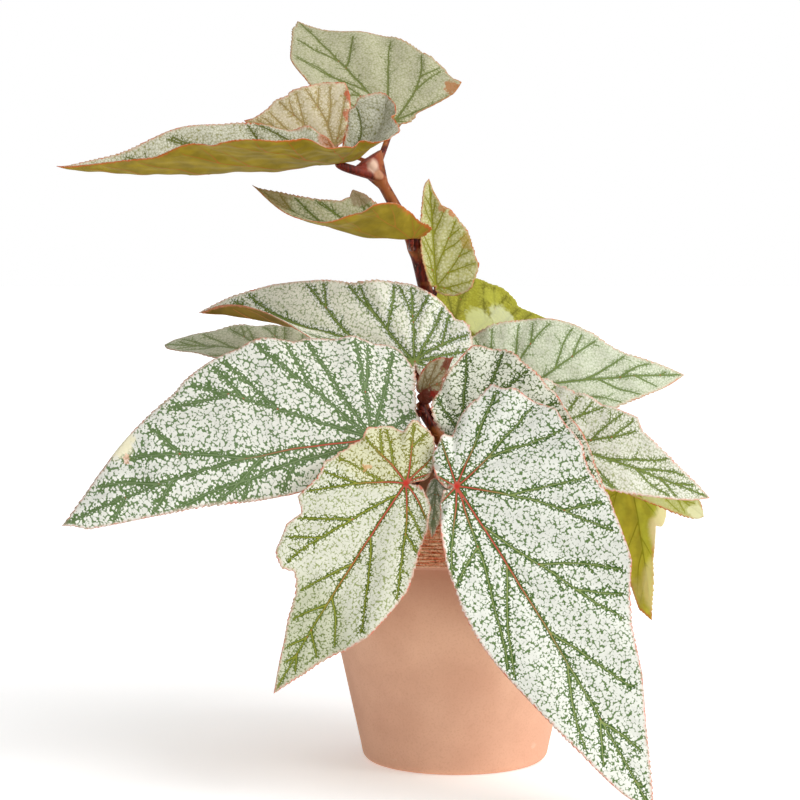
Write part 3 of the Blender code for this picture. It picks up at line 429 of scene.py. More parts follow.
# Spots of another colour over everything, and a painted shadow of the bracts on the young leaf: flat place,
# radius, strength and colour
BLOTCHES_AND_PAINTED_SHADOW = {
    "leaf_front_centre": (((3, 16.5), 1.3, 0.7, (214, 160, 106)),),
    "leaf_left_large": (((98, 20), 6, 0.95, (240, 233, 200)), ((97, 13), 1.6, 0.6, (232, 176, 150)),
                        ((127.5, 5), 1.2, 0.8, (120, 66, 44))),
    "leaf_right_hanging": (((44, -16), 15, 0.9, (222, 214, 160)), ((70, -6), 14, 0.7, (210, 204, 134)),
                           ((26, 0), 7, 0.7, (138, 124, 10))),
    "leaf_top_back": (((2, 32), 3.6, 0.8, (172, 108, 56)),),
    "leaf_rear_right": (((21, 5), 8, 0.7, (206, 210, 150)), ((35, 5), 7, 0.65, (216, 220, 176)),
                        ((36, 16), 5, 0.5, (190, 190, 70))),
    "leaf_stem_left": (((23, -20), 6.5, 0.75, (150, 126, 96)), ((62, 0), 10, 0.6, (142, 118, 62))),
    "leaf_stem_upright": (((30, 9), 1.5, 0.7, (206, 116, 66)), ((32, 5), 1.3, 0.6, (206, 116, 66)),
                          ((18, 16), 4, 0.5, (176, 136, 50))),
    "leaf_right_under": (((65, -1), 4, 0.8, (216, 214, 168)),),
    "leaf_top_cream": (((0, 23), 3.2, 0.8, (208, 96, 60)), ((-1, 15), 2.2, 0.7, (202, 88, 54))),
    "leaf_top_left": (((2, -12), 5, 0.6, (204, 110, 70)),),
    # The three dark maroon patches are partly the young leaf's own red and partly painted shadow of a bract
    "leaf_centre_young": (((0, 2), 4.0, 0.9, (96, 18, 8)), ((4, 5), 2.2, 0.8, (150, 30, 14)),
                          ((17, 0), 3, 0.8, (110, 34, 14)), ((12, -9), 2.5, 0.7, (134, 104, 34))),
}
# Each blade reads its own stretch of the noise, this far from the next one's
FLAT_SHIFT = 100.0
SLOTS = {row["node"]: row["material_slot"] for row in frame["record"]["subparts"]}


def linear(colour):
    """An 8-bit screen colour as the linear RGBA that shaders take."""
    share = np.array(colour, float) / 255
    value = np.where(share <= 0.04045, share / 12.92, ((share + 0.055) / 1.055) ** 2.4)
    return (*value.tolist(), 1.0)


def smooth_curve(points, x):
    """Read a curve that runs smoothly through the points and never overshoots between them."""
    xs, ys = np.array(points, float).T
    x = np.clip(x, xs[0], xs[-1])
    step = np.diff(xs)
    slope = np.diff(ys) / step
    before, after = slope[:-1], slope[1:]
    total = np.where(before + after == 0, 1, before + after)
    middle = np.where(before * after > 0, 2 * before * after / total, 0)
    tangent = np.concatenate([[slope[0]], middle, [slope[-1]]])
    i = np.clip(np.searchsorted(xs, x, side="right") - 1, 0, len(step) - 1)
    t = (x - xs[i]) / step[i]
    start = (1 + 2 * t) * (1 - t) ** 2 * ys[i] + t * (1 - t) ** 2 * step[i] * tangent[i]
    end = t * t * (3 - 2 * t) * ys[i + 1] + t * t * (t - 1) * step[i] * tangent[i + 1]
    return start + end


def through(points, parts):
    """A Catmull-Rom line through the points, with the same number of parts between each two."""
    points = np.array(points, float)
    ends = np.vstack([2 * points[0] - points[1], points, 2 * points[-1] - points[-2]])
    line = []
    for a, b, c, d in zip(ends, ends[1:], ends[2:], ends[3:]):
        for t in np.linspace(0, 1, parts, endpoint=False):
            bend = (2 * a - 5 * b + 4 * c - d) * t ** 2 + (3 * b - a - 3 * c + d) * t ** 3
            line.append(0.5 * (2 * b + (c - a) * t + bend))
    line.append(points[-1])
    return np.array(line)


class Blade:
    """A lopsided leaf blade: a flat outline that a formula folds, arches and waves into space."""

    def __init__(self, base, tip, faces, hand, arch=0.06, fold=(8, 8), fold_end=None, fold_behind=0.3,
                 broad=1.0, narrow=1.0, lobe=1.0, wrap=1.0, width=1.0, sweep=0.0, roll=0.0,
                 scallop=0.02, form=((0, 1),), seed=0):
        self.base = np.array(base, float)
        chord = np.array(tip, float) - self.base
        self.length = np.linalg.norm(chord)
        self.ahead = chord / self.length
        upper = np.array(faces, float)
        upper = upper - self.ahead * (upper @ self.ahead)
        self.upper = upper / np.linalg.norm(upper)
        self.aside = np.cross(self.upper, self.ahead) * hand
        self.hand = hand
        self.arch = arch
        self.fold = fold
        self.fold_end = fold_end or fold
        self.fold_behind = fold_behind
        self.broad = broad
        self.narrow = narrow
        self.lobe = lobe
        self.wrap = wrap
        self.width = width
        self.sweep = sweep
        self.roll = math.radians(roll)
        self.scallop = scallop
        self.form = form
        self.seed = seed

    def radius(self, angle):
        """Distance from the seat to the margin, by the angle from the midrib in degrees."""
        turn = np.abs(angle)
        ease = np.clip((turn - 3) / 30, 0, 1)
        beside = np.clip((turn - 70) / 60, 0, 1)
        behind = np.clip((turn - 130) / 40, 0, 1)
        broad = smooth_curve(BROAD_HALF, turn) * (1 + (self.broad - 1) * ease)
        broad = broad * (1 + (self.lobe - 1) * beside) * (1 + (self.wrap - 1) * behind)
        narrow = smooth_curve(NARROW_HALF, turn) * (1 + (self.narrow - 1) * ease)
        teeth = np.abs(np.sin(np.radians(angle * SCALLOPS + 30 + self.seed * 40))) - 0.6
        fade = np.clip(turn / 15, 0, 1) * np.clip((BROAD_END - turn) / 60, 0, 1)
        share = np.where(angle >= 0, broad, narrow) * (1 + self.scallop * fade * teeth)
        return share * np.interp(angle, *zip(*self.form)) * self.length

    def angle(self, u, v):
        """The angle from the midrib of a flat point, in degrees, counted so that the notch is its end."""
        turn = np.degrees(np.arctan2(v, u))
        return np.where(turn < NARROW_END, turn + 360, turn)

    def share(self, points):
        """How far flat points lie from the seat towards the margin: 0 at the seat, 1 on the margin."""
        u, v = points[:, 0], points[:, 1]
        return np.hypot(u, v) / self.radius(self.angle(u, v))

    def outline(self, angles):
        """Flat points of the margin at angles from the midrib."""
        turn = np.radians(angles)
        return self.radius(angles)[:, None] * np.stack([np.cos(turn), np.sin(turn)], 1)

    def margin(self, step):
        """The outline as evenly spaced flat points, with one of them on the tip, and where the tip is."""
        narrow, broad = OUTLINE_SAMPLES
        angles = np.concatenate([np.linspace(NARROW_END, 0, narrow), np.linspace(0, BROAD_END, broad)[1:]])
        lengths = np.linalg.norm(np.diff(self.outline(angles), axis=0), axis=1)
        run = np.concatenate([[0], np.cumsum(lengths)])
        to_tip = run[narrow - 1]
        before = round(to_tip / step)
        after = round((run[-1] - to_tip) / step)
        spots = np.concatenate([np.linspace(0, to_tip, before, endpoint=False),
                                np.linspace(to_tip, run[-1], after, endpoint=False)])
        return self.outline(np.interp(spots, run, angles)), before

    def bend(self, u, v):
        """Carry flat points to space: u runs along the midrib and v towards the broad half."""
        along = u / self.length
        near = np.clip(along, -0.25, 1.05)
        rise = 4 * self.arch * (near * (1 - near) + (along - near) * (1 - 2 * near)) * self.length
        slope = 4 * self.arch * (1 - 2 * near)
        level = 1 / np.sqrt(1 + slope ** 2)

        first = np.where(v >= 0, self.fold[0], self.fold[1])
        last = np.where(v >= 0, self.fold_end[0], self.fold_end[1])
        fold = np.radians(first + (last - first) * np.clip(along, 0, 1))
        fold = fold * np.clip(1 + 4 * np.minimum(along, 0), self.fold_behind, 1)
        out = np.abs(v) * self.width
        soft = 0.02 * self.length
        y = np.sign(v) * out * np.cos(fold) + self.sweep * 4 * near * (1 - near) * self.length
        z = np.sin(fold) * (np.sqrt(out ** 2 + soft ** 2) - soft) + self.ripple(u, v, along)
        if self.roll:
            u, z = self.rolled(u, v, z)
        return (self.base + np.multiply.outer(u - z * slope * level, self.ahead)
                + np.multiply.outer(y, self.aside) + np.multiply.outer(rise + z * level, self.upper))

    def ripple(self, u, v, along):
        """Waves that grow towards the margin and die out at the tip."""
        angle = self.angle(u, v)
        out = np.clip(np.hypot(u, v) / self.radius(angle), 0, 1.1)
        start = self.seed * 2.1
        turn = np.radians(angle)
        waves = np.sin(turn * WAVES[0] + start) + 0.5 * np.sin(turn * WAVES[1] + 1.7 * start)
        return WAVE * self.length * out ** 3 * waves * np.clip((1.02 - along) * 3, 0, 1)

    def rolled(self, u, v, z):
        """Roll up what lies behind the seat, most on the side away from the broad half."""
        span = 0.3 * self.length
        turn = self.roll / span * np.clip(1 - v / span, 0.001, 1)
        back = np.clip(-u, 0, None)
        sine, cosine = np.sin(turn * back), np.cos(turn * back)
        behind = u < 0
        return (np.where(behind, z * sine - sine / turn, u),
                np.where(behind, (1 - cosine) / turn + z * cosine, z))

    def under(self):
        """The way straight down from the blade's seat."""
        step = 0.01 * self.length
        ahead, back, left, right = self.bend(np.array([step, -step, 0, 0]), np.array([0, 0, step, -step]))
        down = np.cross(left - right, ahead - back) * self.hand
        return down / np.linalg.norm(down)


# One vein as drawn: its flat points, the dark band's and the line's half-width and the redness at each
Stroke = namedtuple("Stroke", "points half line red")


def march(blade, start, heading, bend, rng):
    """Flat points from start towards the margin, along a heading that turns by bend on the way."""
    distances = np.arange(1, int(1.2 * blade.length / VEIN_STEP)) * VEIN_STEP
    ray = np.array([math.cos(math.radians(heading)), math.sin(math.radians(heading))])
    past = blade.share(start + distances[:, None] * ray) > VEIN_STOP
    reach = distances[np.argmax(past)] if past.any() else distances[-1]
    wobble = 3 * np.sin(distances / 5.3 + rng.uniform(*PHASES))
    wobble += 2 * np.sin(distances / 2.1 + rng.uniform(*PHASES))
    turned = np.radians(heading + bend * np.clip(distances / reach, 0, 1.2) + wobble)
    path = start + np.cumsum(np.stack([np.cos(turned), np.sin(turned)], 1), axis=0) * VEIN_STEP
    past = (blade.share(path) > VEIN_STOP) | (distances > 1.3 * reach)
    end = max(2, np.argmax(past)) if past.any() else len(path)
    return np.vstack([start, path[:end]])


def stroke(points, half, line, red_reach=0):
    """A vein that tapers along its points, red for red_reach from its start."""
    run = np.arange(len(points)) / max(1, len(points) - 1)
    distance = np.arange(len(points)) * VEIN_STEP
    red = np.clip(1.6 * (1 - distance / max(red_reach, 0.01)), 0, 1)
    return Stroke(points, half * (1 - 0.8 * run), line * (1 - 0.5 * run), red)


def draw_veins(name, blade, look, rng):
    """The midrib, its veins and their forks, as strokes."""
    along = np.arange(0, MIDRIB_END * blade.length, VEIN_STEP)
    midrib = np.stack([along, np.zeros(len(along))], 1)
    strokes = [stroke(midrib, look.half, MIDRIB_LINE, look.red_share * blade.length)]
    size = min(1.0, blade.length / 100) ** 0.5
    plain = name not in VEINS
    for at, heading, bend, forks in VEINS.get(name, PLAIN_VEINS):
        jitter = rng.normal(0, 2.5) if plain else 0
        start = np.array([at * blade.length * (1 + 0.02 * jitter), 0.0])
        path = march(blade, start, heading + jitter, bend, rng)
        half = look.half * (SEAT_VEIN if at == 0 else SIDE_VEIN)
        red_reach = look.side_red * blade.length if at == 0 else 0
        strokes.append(stroke(path, half, VEIN_LINE * size, red_reach))
        for share, fork_heading, fork_bend in forks:
            fork = march(blade, path[int(share * (len(path) - 1))], fork_heading, fork_bend, rng)
            strokes.append(stroke(fork, half * FORK, FORK_LINE * size))
    return strokes


def draw_twigs(blade, strokes, tree, rng):
    """Short side veins on both sides of each stroke, which stop before they meet another vein."""
    twigs = []
    step = int(TWIG_GAP / VEIN_STEP)
    for parent in strokes:
        side = 1
        last = len(parent.points) - 3
        for i in range(step, last, step):
            at = min(i + int(rng.integers(-2, 3)), last)
            ahead = parent.points[at + 2] - parent.points[at]
            heading = math.degrees(math.atan2(ahead[1], ahead[0])) + side * rng.uniform(30, 60)
            side = -side
            path = march(blade, parent.points[at], heading, -side * rng.uniform(5, 25), rng)
            path = path[:int(TWIG_LENGTH * rng.uniform(0.6, 1.6) / VEIN_STEP)]
            for k in range(4, len(path)):
                if tree.find((*path[k], 0))[2] < TWIG_CLEAR:
                    path = path[:k]
                    break
            if len(path) > 4:
                twigs.append(stroke(path, TWIG_HALF, TWIG_HALF))
    return twigs


def tree_of(points):
    """A search tree of flat points."""
    tree = KDTree(len(points))
    for i, (u, v) in enumerate(points):
        tree.insert((u, v, 0), i)
    tree.balance()
    return tree


def dense(strokes, parts=3):
    """The strokes' points with more between them, and the values that go with each."""
    rows = []
    for piece in strokes:
        values = np.column_stack([piece.points, piece.half, piece.line, piece.red])
        at = np.linspace(0, len(values) - 1, parts * (len(values) - 1) + 1)
        rows.append(np.stack([np.interp(at, np.arange(len(values)), column) for column in values.T], 1))
    return np.concatenate(rows)


def nearest(tree, points):
    """How far the tree's nearest point is from each flat point, and which one it is."""
    found = [tree.find((u, v, 0)) for u, v in points]
    return np.array([row[2] for row in found]), np.array([row[1] for row in found])


def toothed(blade):
    """The margin with fine teeth that point to the tip, cut inwards."""
    points, tip = blade.margin(MARGIN_STEP)
    number = np.arange(len(points))
    ahead = np.roll(points, -1, 0) - np.roll(points, 1, 0)
    ahead /= np.maximum(np.linalg.norm(ahead, axis=1), 1e-9)[:, None]
    outward = np.stack([ahead[:, 1], -ahead[:, 0]], 1)
    run = number * MARGIN_STEP
    phase = run / TOOTH_PITCH + 0.5 * np.sin(run / 6.1 + blade.seed) + 0.3 * np.sin(run / 2.7)
    saw = np.where(number < tip, phase % 1, 1 - phase % 1)
    size = 0.55 + 0.45 * np.sin(run / 9.7 + 2 * blade.seed)
    fade = np.clip((np.hypot(*points.T) / blade.length - 0.04) / 0.1, 0, 1)
    fade *= np.clip(np.abs(number - tip) / 8, 0, 1)
    depth = TOOTH_DEPTH * min(1, blade.length / TOOTH_LENGTH)
    return points - outward * (depth * (1 - saw) * size * fade)[:, None]


def thinned(points, gap):
    """One point for each cell of a square grid."""
    _, first = np.unique(np.round(points / gap).astype(int), axis=0, return_index=True)
    return points[np.sort(first)]


def fill(blade, margin, vein_points, spacing):
    """Triangles over the flat blade, with points along the margin and the veins and in rows between."""
    reach = int(1.1 * blade.length / spacing)
    rows, columns = np.meshgrid(np.arange(-reach, reach + 1), np.arange(-reach, reach + 1), indexing="ij")
    across = (columns + 0.5 * (rows % 2)).ravel() * spacing
    grid = np.stack([across, rows.ravel() * spacing * ROW_HEIGHT], 1)
    grid = grid[blade.share(grid) < 1]
    kept = thinned(vein_points, 0.7 * spacing)
    edge_tree = tree_of(margin)
    kept = kept[nearest(edge_tree, kept)[0] > 0.5 * spacing]
    vein_tree = tree_of(kept)
    grid = grid[nearest(edge_tree, grid)[0] > 0.6 * spacing]
    grid = grid[nearest(vein_tree, grid)[0] > 0.55 * spacing]
    flat = np.concatenate([margin, kept, grid])
    points, _, faces, *_ = delaunay_2d_cdt([Vector(point) for point in flat], [],
                                           [list(range(len(margin)))], 1, 1e-6)
    faces = np.array(faces)
    used, faces = np.unique(faces, return_inverse=True)
    return np.array(points)[used], faces.reshape(-1, 3)


def vertex_normals(points, faces):
    first, second, third = points[faces.T]
    across = np.cross(second - first, third - first)
    normals = np.zeros_like(points)
    for corner in faces.T:
        np.add.at(normals, corner, across)
    return normals / np.maximum(np.linalg.norm(normals, axis=1), 1e-12)[:, None]


def undulation(points, rng):
    """Low swells over the flat blade, as a few waves in random directions."""
    total = np.zeros(len(points))
    for length in SWELL_LENGTHS:
        heading = rng.uniform(0, math.pi)
        across = points @ np.array([math.cos(heading), math.sin(heading)])
        swell = np.sin(2 * math.pi * across / length + rng.uniform(*PHASES))
        total += length / SWELL_LENGTHS[0] * swell
    return total


def outer_edges(faces):
    """The edges that only one triangle has, in that triangle's direction."""
    edges = np.concatenate([faces[:, (0, 1)], faces[:, (1, 2)], faces[:, (2, 0)]])
    count = faces.max() + 1
    key = edges[:, 0] * count + edges[:, 1]
    back = edges[:, 1] * count + edges[:, 0]
    return edges[~np.isin(key, back)]


def mesh_from(name, points, faces):
    mesh = bpy.data.meshes.new(name)
    mesh.from_pydata(points * MM, [], faces)
    mesh.shade_smooth()
    return mesh


def add_values(mesh, name, values):
    kind = "FLOAT" if values.ndim == 1 else "FLOAT_VECTOR"
    layer = mesh.attributes.new(name, kind, "POINT")
    layer.data.foreach_set("value" if kind == "FLOAT" else "vector", values.astype(np.float32).ravel())


def linked(name, data):
    """A new object of the scene."""
    made = bpy.data.objects.new(name, data)
    bpy.context.scene.collection.objects.link(made)
    return made


def settled(made):
    """The object's mesh with its modifiers applied."""
    bpy.context.view_layer.update()
    return bpy.data.meshes.new_from_object(made.evaluated_get(bpy.context.evaluated_depsgraph_get()))


def place(name, mesh, slot, node):
    """Make an object of the mesh that stands for the named node."""
    made = linked(name, mesh)
    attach(made, "root")
    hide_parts(node)
    return made


def make_leaf(name, blade, look):
    """A blade with both its faces and its edge, and the values that its shaders read."""
    rng = np.random.default_rng(blade.seed)
    spacing = float(np.clip(blade.length * SPACING_SHARE, *SPACING_RANGE))
    strokes = draw_veins(name, blade, look, rng)
    main = dense(strokes)
    main_tree = tree_of(main[:, :2])
    twigs = draw_twigs(blade, strokes, main_tree, rng)
    side = dense(twigs) if twigs else main
    drawn = np.concatenate([piece.points for piece in strokes + twigs])
    margin = toothed(blade)
    flat, faces = fill(blade, margin, drawn, spacing)
    if blade.hand < 0:
        faces = faces[:, ::-1]

    distance, index = nearest(main_tree, flat)
    side_distance, side_index = nearest(tree_of(side[:, :2]), flat)
    half, line, red = main[index, 2:].T
    beside_twigs = TWIG_OPENING * (side_distance - side[side_index, 2])
    edge = nearest(tree_of(margin), flat)[0]
    inside = np.clip(edge / 6, 0, 1)
    near_margin = np.clip(edge / 2, 0, 1)

    middle = blade.bend(flat[:, 0], flat[:, 1])
    normals = vertex_normals(middle, faces)
    quilt = (1 - np.exp(-(distance / QUILT_WIDTH) ** 2)) * inside
    swell = QUILTING * (quilt - 0.5 * inside) + UNDULATION * undulation(flat, rng) * inside
    middle = middle + normals * (swell * min(1, blade.length / 80))[:, None]
    normals = vertex_normals(middle, faces)
    furrow = np.exp(-(distance / GROOVE_WIDTH) ** 2) * np.clip(half, 0.3, 1.1) * near_margin
    furrow += TWIG_RELIEF * np.exp(-(side_distance / TWIG_GROOVE_WIDTH) ** 2) * near_margin
    thickness = MARGIN_THICKNESS + (INNER_THICKNESS - MARGIN_THICKNESS) * np.clip(edge / THICKENING, 0, 1)
    top = middle + normals * (thickness / 2 - GROOVE * furrow)[:, None]
    bottom = middle - normals * (thickness / 2 + RIB * furrow)[:, None]

    count = len(flat)
    rim = outer_edges(faces)
    sides = np.concatenate([np.stack([rim[:, 0], rim[:, 0] + count, rim[:, 1]], 1),
                            np.stack([rim[:, 1], rim[:, 0] + count, rim[:, 1] + count], 1)])
    mesh = mesh_from(name, np.concatenate([top, bottom]),
                     np.concatenate([faces, sides, faces[:, ::-1] + count]).tolist())
    mesh.materials.append(top_material(name, look, blade))
    mesh.materials.append(under_material(name, look, blade))
    is_under = np.zeros(len(mesh.polygons), np.int32)
    is_under[len(faces) + len(sides):] = 1
    mesh.polygons.foreach_set("material_index", is_under)
    shifted = np.column_stack([flat[:, 0] + FLAT_SHIFT * blade.seed, flat[:, 1], np.zeros(count)])
    for label, values in (("open", np.minimum(distance - half, beside_twigs)), ("flat", shifted),
                          ("line", distance / np.maximum(line, 0.05)), ("edge", edge), ("red", red)):
        add_values(mesh, label, np.concatenate([values, values]))
    place("blade_" + name[5:], mesh, SLOTS[name], name)


class Shader:
    """A material's node tree, built by calls that take and give sockets."""

    def __init__(self, name):
        self.material = bpy.data.materials.new(name)
        self.material.use_nodes = True
        self.tree = self.material.node_tree
        self.surface = self.tree.nodes["Principled BSDF"]

    def put(self, socket, value):
        if isinstance(value, bpy.types.NodeSocket):
            self.tree.links.new(value, socket)
        elif isinstance(value, tuple) and len(value) == 3 and socket.type == "RGBA":
            socket.default_value = linear(value)
        else:
            socket.default_value = value

    def math(self, operation, first, second=0.0):
        node = self.tree.nodes.new("ShaderNodeMath")
        node.operation = operation
        self.put(node.inputs[0], first)
        self.put(node.inputs[1], second)
        return node.outputs[0]

    def ramp(self, value, low, high, start=0.0, end=1.0):
        """A smooth step from start to end as the value goes from low to high."""
        node = self.tree.nodes.new("ShaderNodeMapRange")
        node.interpolation_type = "SMOOTHSTEP"
        for socket, given in zip(node.inputs, (value, low, high, start, end)):
            self.put(socket, given)
        return node.outputs[0]

    def mix(self, share, first, second):
        node = self.tree.nodes.new("ShaderNodeMix")
        node.data_type = "RGBA"
        self.put(node.inputs[0], share)
        self.put(node.inputs[6], first)
        self.put(node.inputs[7], second)
        return node.outputs[2]

    def cover(self, colour, tone, value, low, high, start=0.0, end=1.0):
        """The colour under a tone whose strength steps smoothly from start to end."""
        return self.mix(self.ramp(value, low, high, start, end), colour, tone)

    def value(self, name, kind="Fac"):
        """What the mesh says at each point."""
        node = self.tree.nodes.new("ShaderNodeAttribute")
        node.attribute_name = name
        return node.outputs[kind]

    def height(self, place):
        node = self.tree.nodes.new("ShaderNodeSeparateXYZ")
        self.put(node.inputs[0], place)
        return node.outputs[2]

    def place(self):
        """The point itself, in millimetres."""
        node = self.tree.nodes.new("ShaderNodeTexCoord")
        return self.combine("SCALE", node.outputs["Object"], 1 / MM)

    def combine(self, operation, first, second):
        node = self.tree.nodes.new("ShaderNodeVectorMath")
        node.operation = operation
        self.put(node.inputs[0], first)
        self.put(node.inputs["Scale" if operation == "SCALE" else 1], second)
        return node.outputs["Value" if operation == "DISTANCE" else "Vector"]

    def noise(self, place, size, detail=3.0, kind="Fac"):
        """Soft noise whose swells are about size across."""
        node = self.tree.nodes.new("ShaderNodeTexNoise")
        self.put(node.inputs["Vector"], place)
        node.inputs["Scale"].default_value = 1 / size
        node.inputs["Detail"].default_value = detail
        return node.outputs[kind]

    def swells(self, place, size, detail, low, high, start=0.0, end=1.0):
        """Soft noise as a smooth step from start to end."""
        return self.ramp(self.noise(place, size, detail), low, high, start, end)

    def cells(self, place, size):
        """For flat random cells: how far their middle and their border are, and a random value of each."""
        middle, border = (self.tree.nodes.new("ShaderNodeTexVoronoi") for _ in range(2))
        border.feature = "DISTANCE_TO_EDGE"
        for node in (middle, border):
            node.voronoi_dimensions = "2D"
            self.put(node.inputs["Vector"], place)
            node.inputs["Scale"].default_value = 1 / size
        split = self.tree.nodes.new("ShaderNodeSeparateColor")
        self.put(split.inputs[0], middle.outputs["Color"])
        return (self.math("MULTIPLY", middle.outputs["Distance"], size),
                self.math("MULTIPLY", border.outputs["Distance"], size), split.outputs[0])

    def relief(self, height, depth, strength=1.0, after=None):
        """Bumps of a depth in millimetres, over those of after."""
        node = self.tree.nodes.new("ShaderNodeBump")
        node.inputs["Distance"].default_value = depth * MM
        node.inputs["Strength"].default_value = strength
        self.put(node.inputs["Height"], height)
        if after is not None:
            self.put(node.inputs["Normal"], after)
        return node.outputs["Normal"]

    def finish(self, colour, roughness, normal=None, gloss=0.5):
        self.put(self.surface.inputs["Base Color"], colour)
        self.put(self.surface.inputs["Roughness"], roughness)
        self.surface.inputs["Specular IOR Level"].default_value = gloss
        if normal is not None:
            self.put(self.surface.inputs["Normal"], normal)
        return self.material


# Pale spots in two sizes: the cells' size, how open the blade has to be for them to start and to be full,
# and their first and full radius
SPOT_SIZES = ((0.85, -0.1, 0.7, 0.12, 0.36), (1.25, 0.15, 1.3, 0.0, 0.75))


def spots(shader, flat, open_space, look):
    """A mask of pale spots: small and apart beside veins, packed like bubbles where the blade is open."""
    shift = shader.combine("SUBTRACT", shader.noise(flat, 1.3, 2.0, "Color"), (0.5, 0.5, 0.5))
    warped = shader.combine("ADD", flat, shader.combine("SCALE", shift, 0.55 * look.spot))
    gap = shader.swells(flat, 1.1 * look.spot, 4.0, 0.38, 0.62,
                        look.gap + 0.16 * look.spot, look.gap - 0.22 * look.spot)
    gap = shader.math("ADD", gap, shader.ramp(open_space, 0.3, 4.0, 0.13 * look.spot, -0.06 * look.spot))
    mask = None
    for size, low, high, first, full in SPOT_SIZES:
        distance, border, chance = shader.cells(warped, size * look.spot)
        radius = shader.ramp(open_space, low, high * look.spot, first * look.spot, full * look.spot)
        radius = shader.math("MULTIPLY", radius, shader.ramp(chance, 0.0, 1.0, 0.6, 1.1))
        room = shader.math("MINIMUM", shader.math("SUBTRACT", radius, distance),
                           shader.math("SUBTRACT", border, gap))
        inside = shader.ramp(room, -look.soft, look.soft)
        mask = inside if mask is None else shader.math("MAXIMUM", mask, inside)
    return mask


def patch(shader, flat, blade, place, radius, strength, ragged):
    """How much a soft ragged round patch at a flat place of the blade covers."""
    middle = (place[0] + FLAT_SHIFT * blade.seed, place[1], 0.0)
    reach = shader.math("ADD", shader.combine("DISTANCE", flat, middle), ragged)
    return shader.ramp(reach, 0.75 * radius, 1.2 * radius, strength, 0.0)


def blotched_and_shadowed(shader, name, flat, blade, colour, ragged):
    """The colour with the leaf's blotches and painted shadows over it."""
    for place, radius, strength, overlay_colour in BLOTCHES_AND_PAINTED_SHADOW.get(name, ()):
        colour = shader.mix(patch(shader, flat, blade, place, radius, strength, ragged), colour, overlay_colour)
    return colour


def between(first, second, share):
    """The colour at a share of the way from the first to the second."""
    return tuple((1 - share) * a + share * b for a, b in zip(first, second))


def scaled(colour, factor, more=0, most=255):
    """The colour times a factor, and then with some more light."""
    return tuple(min(most, factor * c + more) for c in colour)


def top_material(name, look, blade):
    """Pale spots on green, dark bands along light veins with painted shade at their grooves' edges, and a
    thin coloured margin.
    """
    shader = Shader("top_" + name[5:])
    flat = shader.value("flat", "Vector")
    line = shader.value("line")
    frayed = shader.swells(flat, 1.1, 3.0, 0.25, 0.75, -0.35, 0.35)
    open_space = shader.math("ADD", shader.value("open"), frayed)
    ragged = shader.swells(flat, 2.5, 4.0, 0.2, 0.8, -1.6, 1.6)

    light_green = between(look.band, look.line, 0.55)
    green = shader.mix(shader.swells(flat, 2.2, 4.0, 0.4, 0.62), look.band, light_green)
    green = shader.cover(green, look.field, open_space, 0.6, 2.6 * look.spot)
    bright = scaled(look.pale, 1, 16, 252)
    white = shader.cover(bright, look.pale, open_space, 0.4, 2.4 * look.spot)
    white = shader.mix(shader.swells(flat, 3.0, 4.0, 0.35, 0.7, 0.0, 0.5), white, scaled(look.pale, 0.94))
    # Tints, the one towards the front leaf's tip a painted shade
    for place, radius, strength, green_tint, white_tint in TINTS_AND_PAINTED_SHADE.get(name, ()):
        share = patch(shader, flat, blade, place, radius, strength, ragged)
        green = shader.mix(share, green, green_tint)
        white = shader.mix(share, white, white_tint)
    mask = spots(shader, flat, open_space, look)
    colour = shader.mix(mask, green, white)

    # A darker edge beside each vein line: partly the vein's own dark halo and partly painted shade in its
    # sunken groove
    colour = shader.cover(colour, scaled(look.band, 0.8), line, 1.2, 2.3, 0.85, 0.0)
    line_colour = shader.mix(shader.value("red"), look.line, RED_VEIN)
    colour = shader.cover(colour, line_colour, line, 0.7, 1.2, 1.0, 0.0)
    wavy = shader.math("ADD", shader.value("edge"), shader.swells(flat, 1.4, 2.0, 0.2, 0.8, -0.4, 0.4))
    colour = shader.cover(colour, between(look.pale, look.edge, 0.4), wavy, 0.3, 1.3, 0.55, 0.0)
    thin = shader.math("MULTIPLY", shader.ramp(wavy, 0.05, 0.42, 1.0, 0.0),
                       shader.swells(flat, 7.0, 2.0, 0.35, 0.6, 0.35, 1.0))
    colour = shader.mix(thin, colour, look.edge)
    colour = blotched_and_shadowed(shader, name, flat, blade, colour, ragged)
    if look.red_share:
        seat = shader.combine("DISTANCE", flat, (FLAT_SHIFT * blade.seed, 0.0, 0.0))
        colour = shader.cover(colour, RED_SEAT, seat, 0.4, 1.8, 1.0, 0.0)

    bumps = shader.relief(mask, 0.05, 0.6, shader.relief(shader.noise(flat, 0.5, 3.0), 0.05, 0.6))
    bumps = shader.relief(shader.noise(flat, 2.4, 3.0), 0.3, 0.7, bumps)
    bumps = shader.relief(shader.ramp(line, 0.0, 2.2), 0.12, 0.6, bumps)
    return shader.finish(colour, shader.ramp(mask, 0.0, 1.0, 0.55, 0.65), bumps, LEAF_GLOSS)


def under_material(name, look, blade):
    """A mottled plain underside with rust-coloured ribs."""
    shader = Shader("under_" + name[5:])
    flat = shader.value("flat", "Vector")
    shade = scaled(look.under, 0.88)
    colour = shader.mix(shader.swells(flat, 9.0, 3.0, 0.3, 0.7), shade, scaled(look.under, 1.06, 6))
    colour = shader.cover(colour, shade, shader.value("open"), 0.0, 2.0, 0.45, 0.0)
    colour = shader.cover(colour, look.rib, shader.value("line"), 0.7, 1.4, 0.85, 0.0)
    ragged = shader.math("ADD", shader.value("edge"), shader.swells(flat, 1.6, 2.0, 0.2, 0.8, -0.6, 0.6))
    colour = shader.cover(colour, look.edge, ragged, 0.2, 1.5, 0.7, 0.0)
    colour = blotched_and_shadowed(shader, name, flat, blade, colour, ragged)
    bumps = shader.relief(shader.noise(flat, 0.7, 3.0), 0.08, 0.6)
    return shader.finish(colour, 0.65, bumps, LEAF_GLOSS)


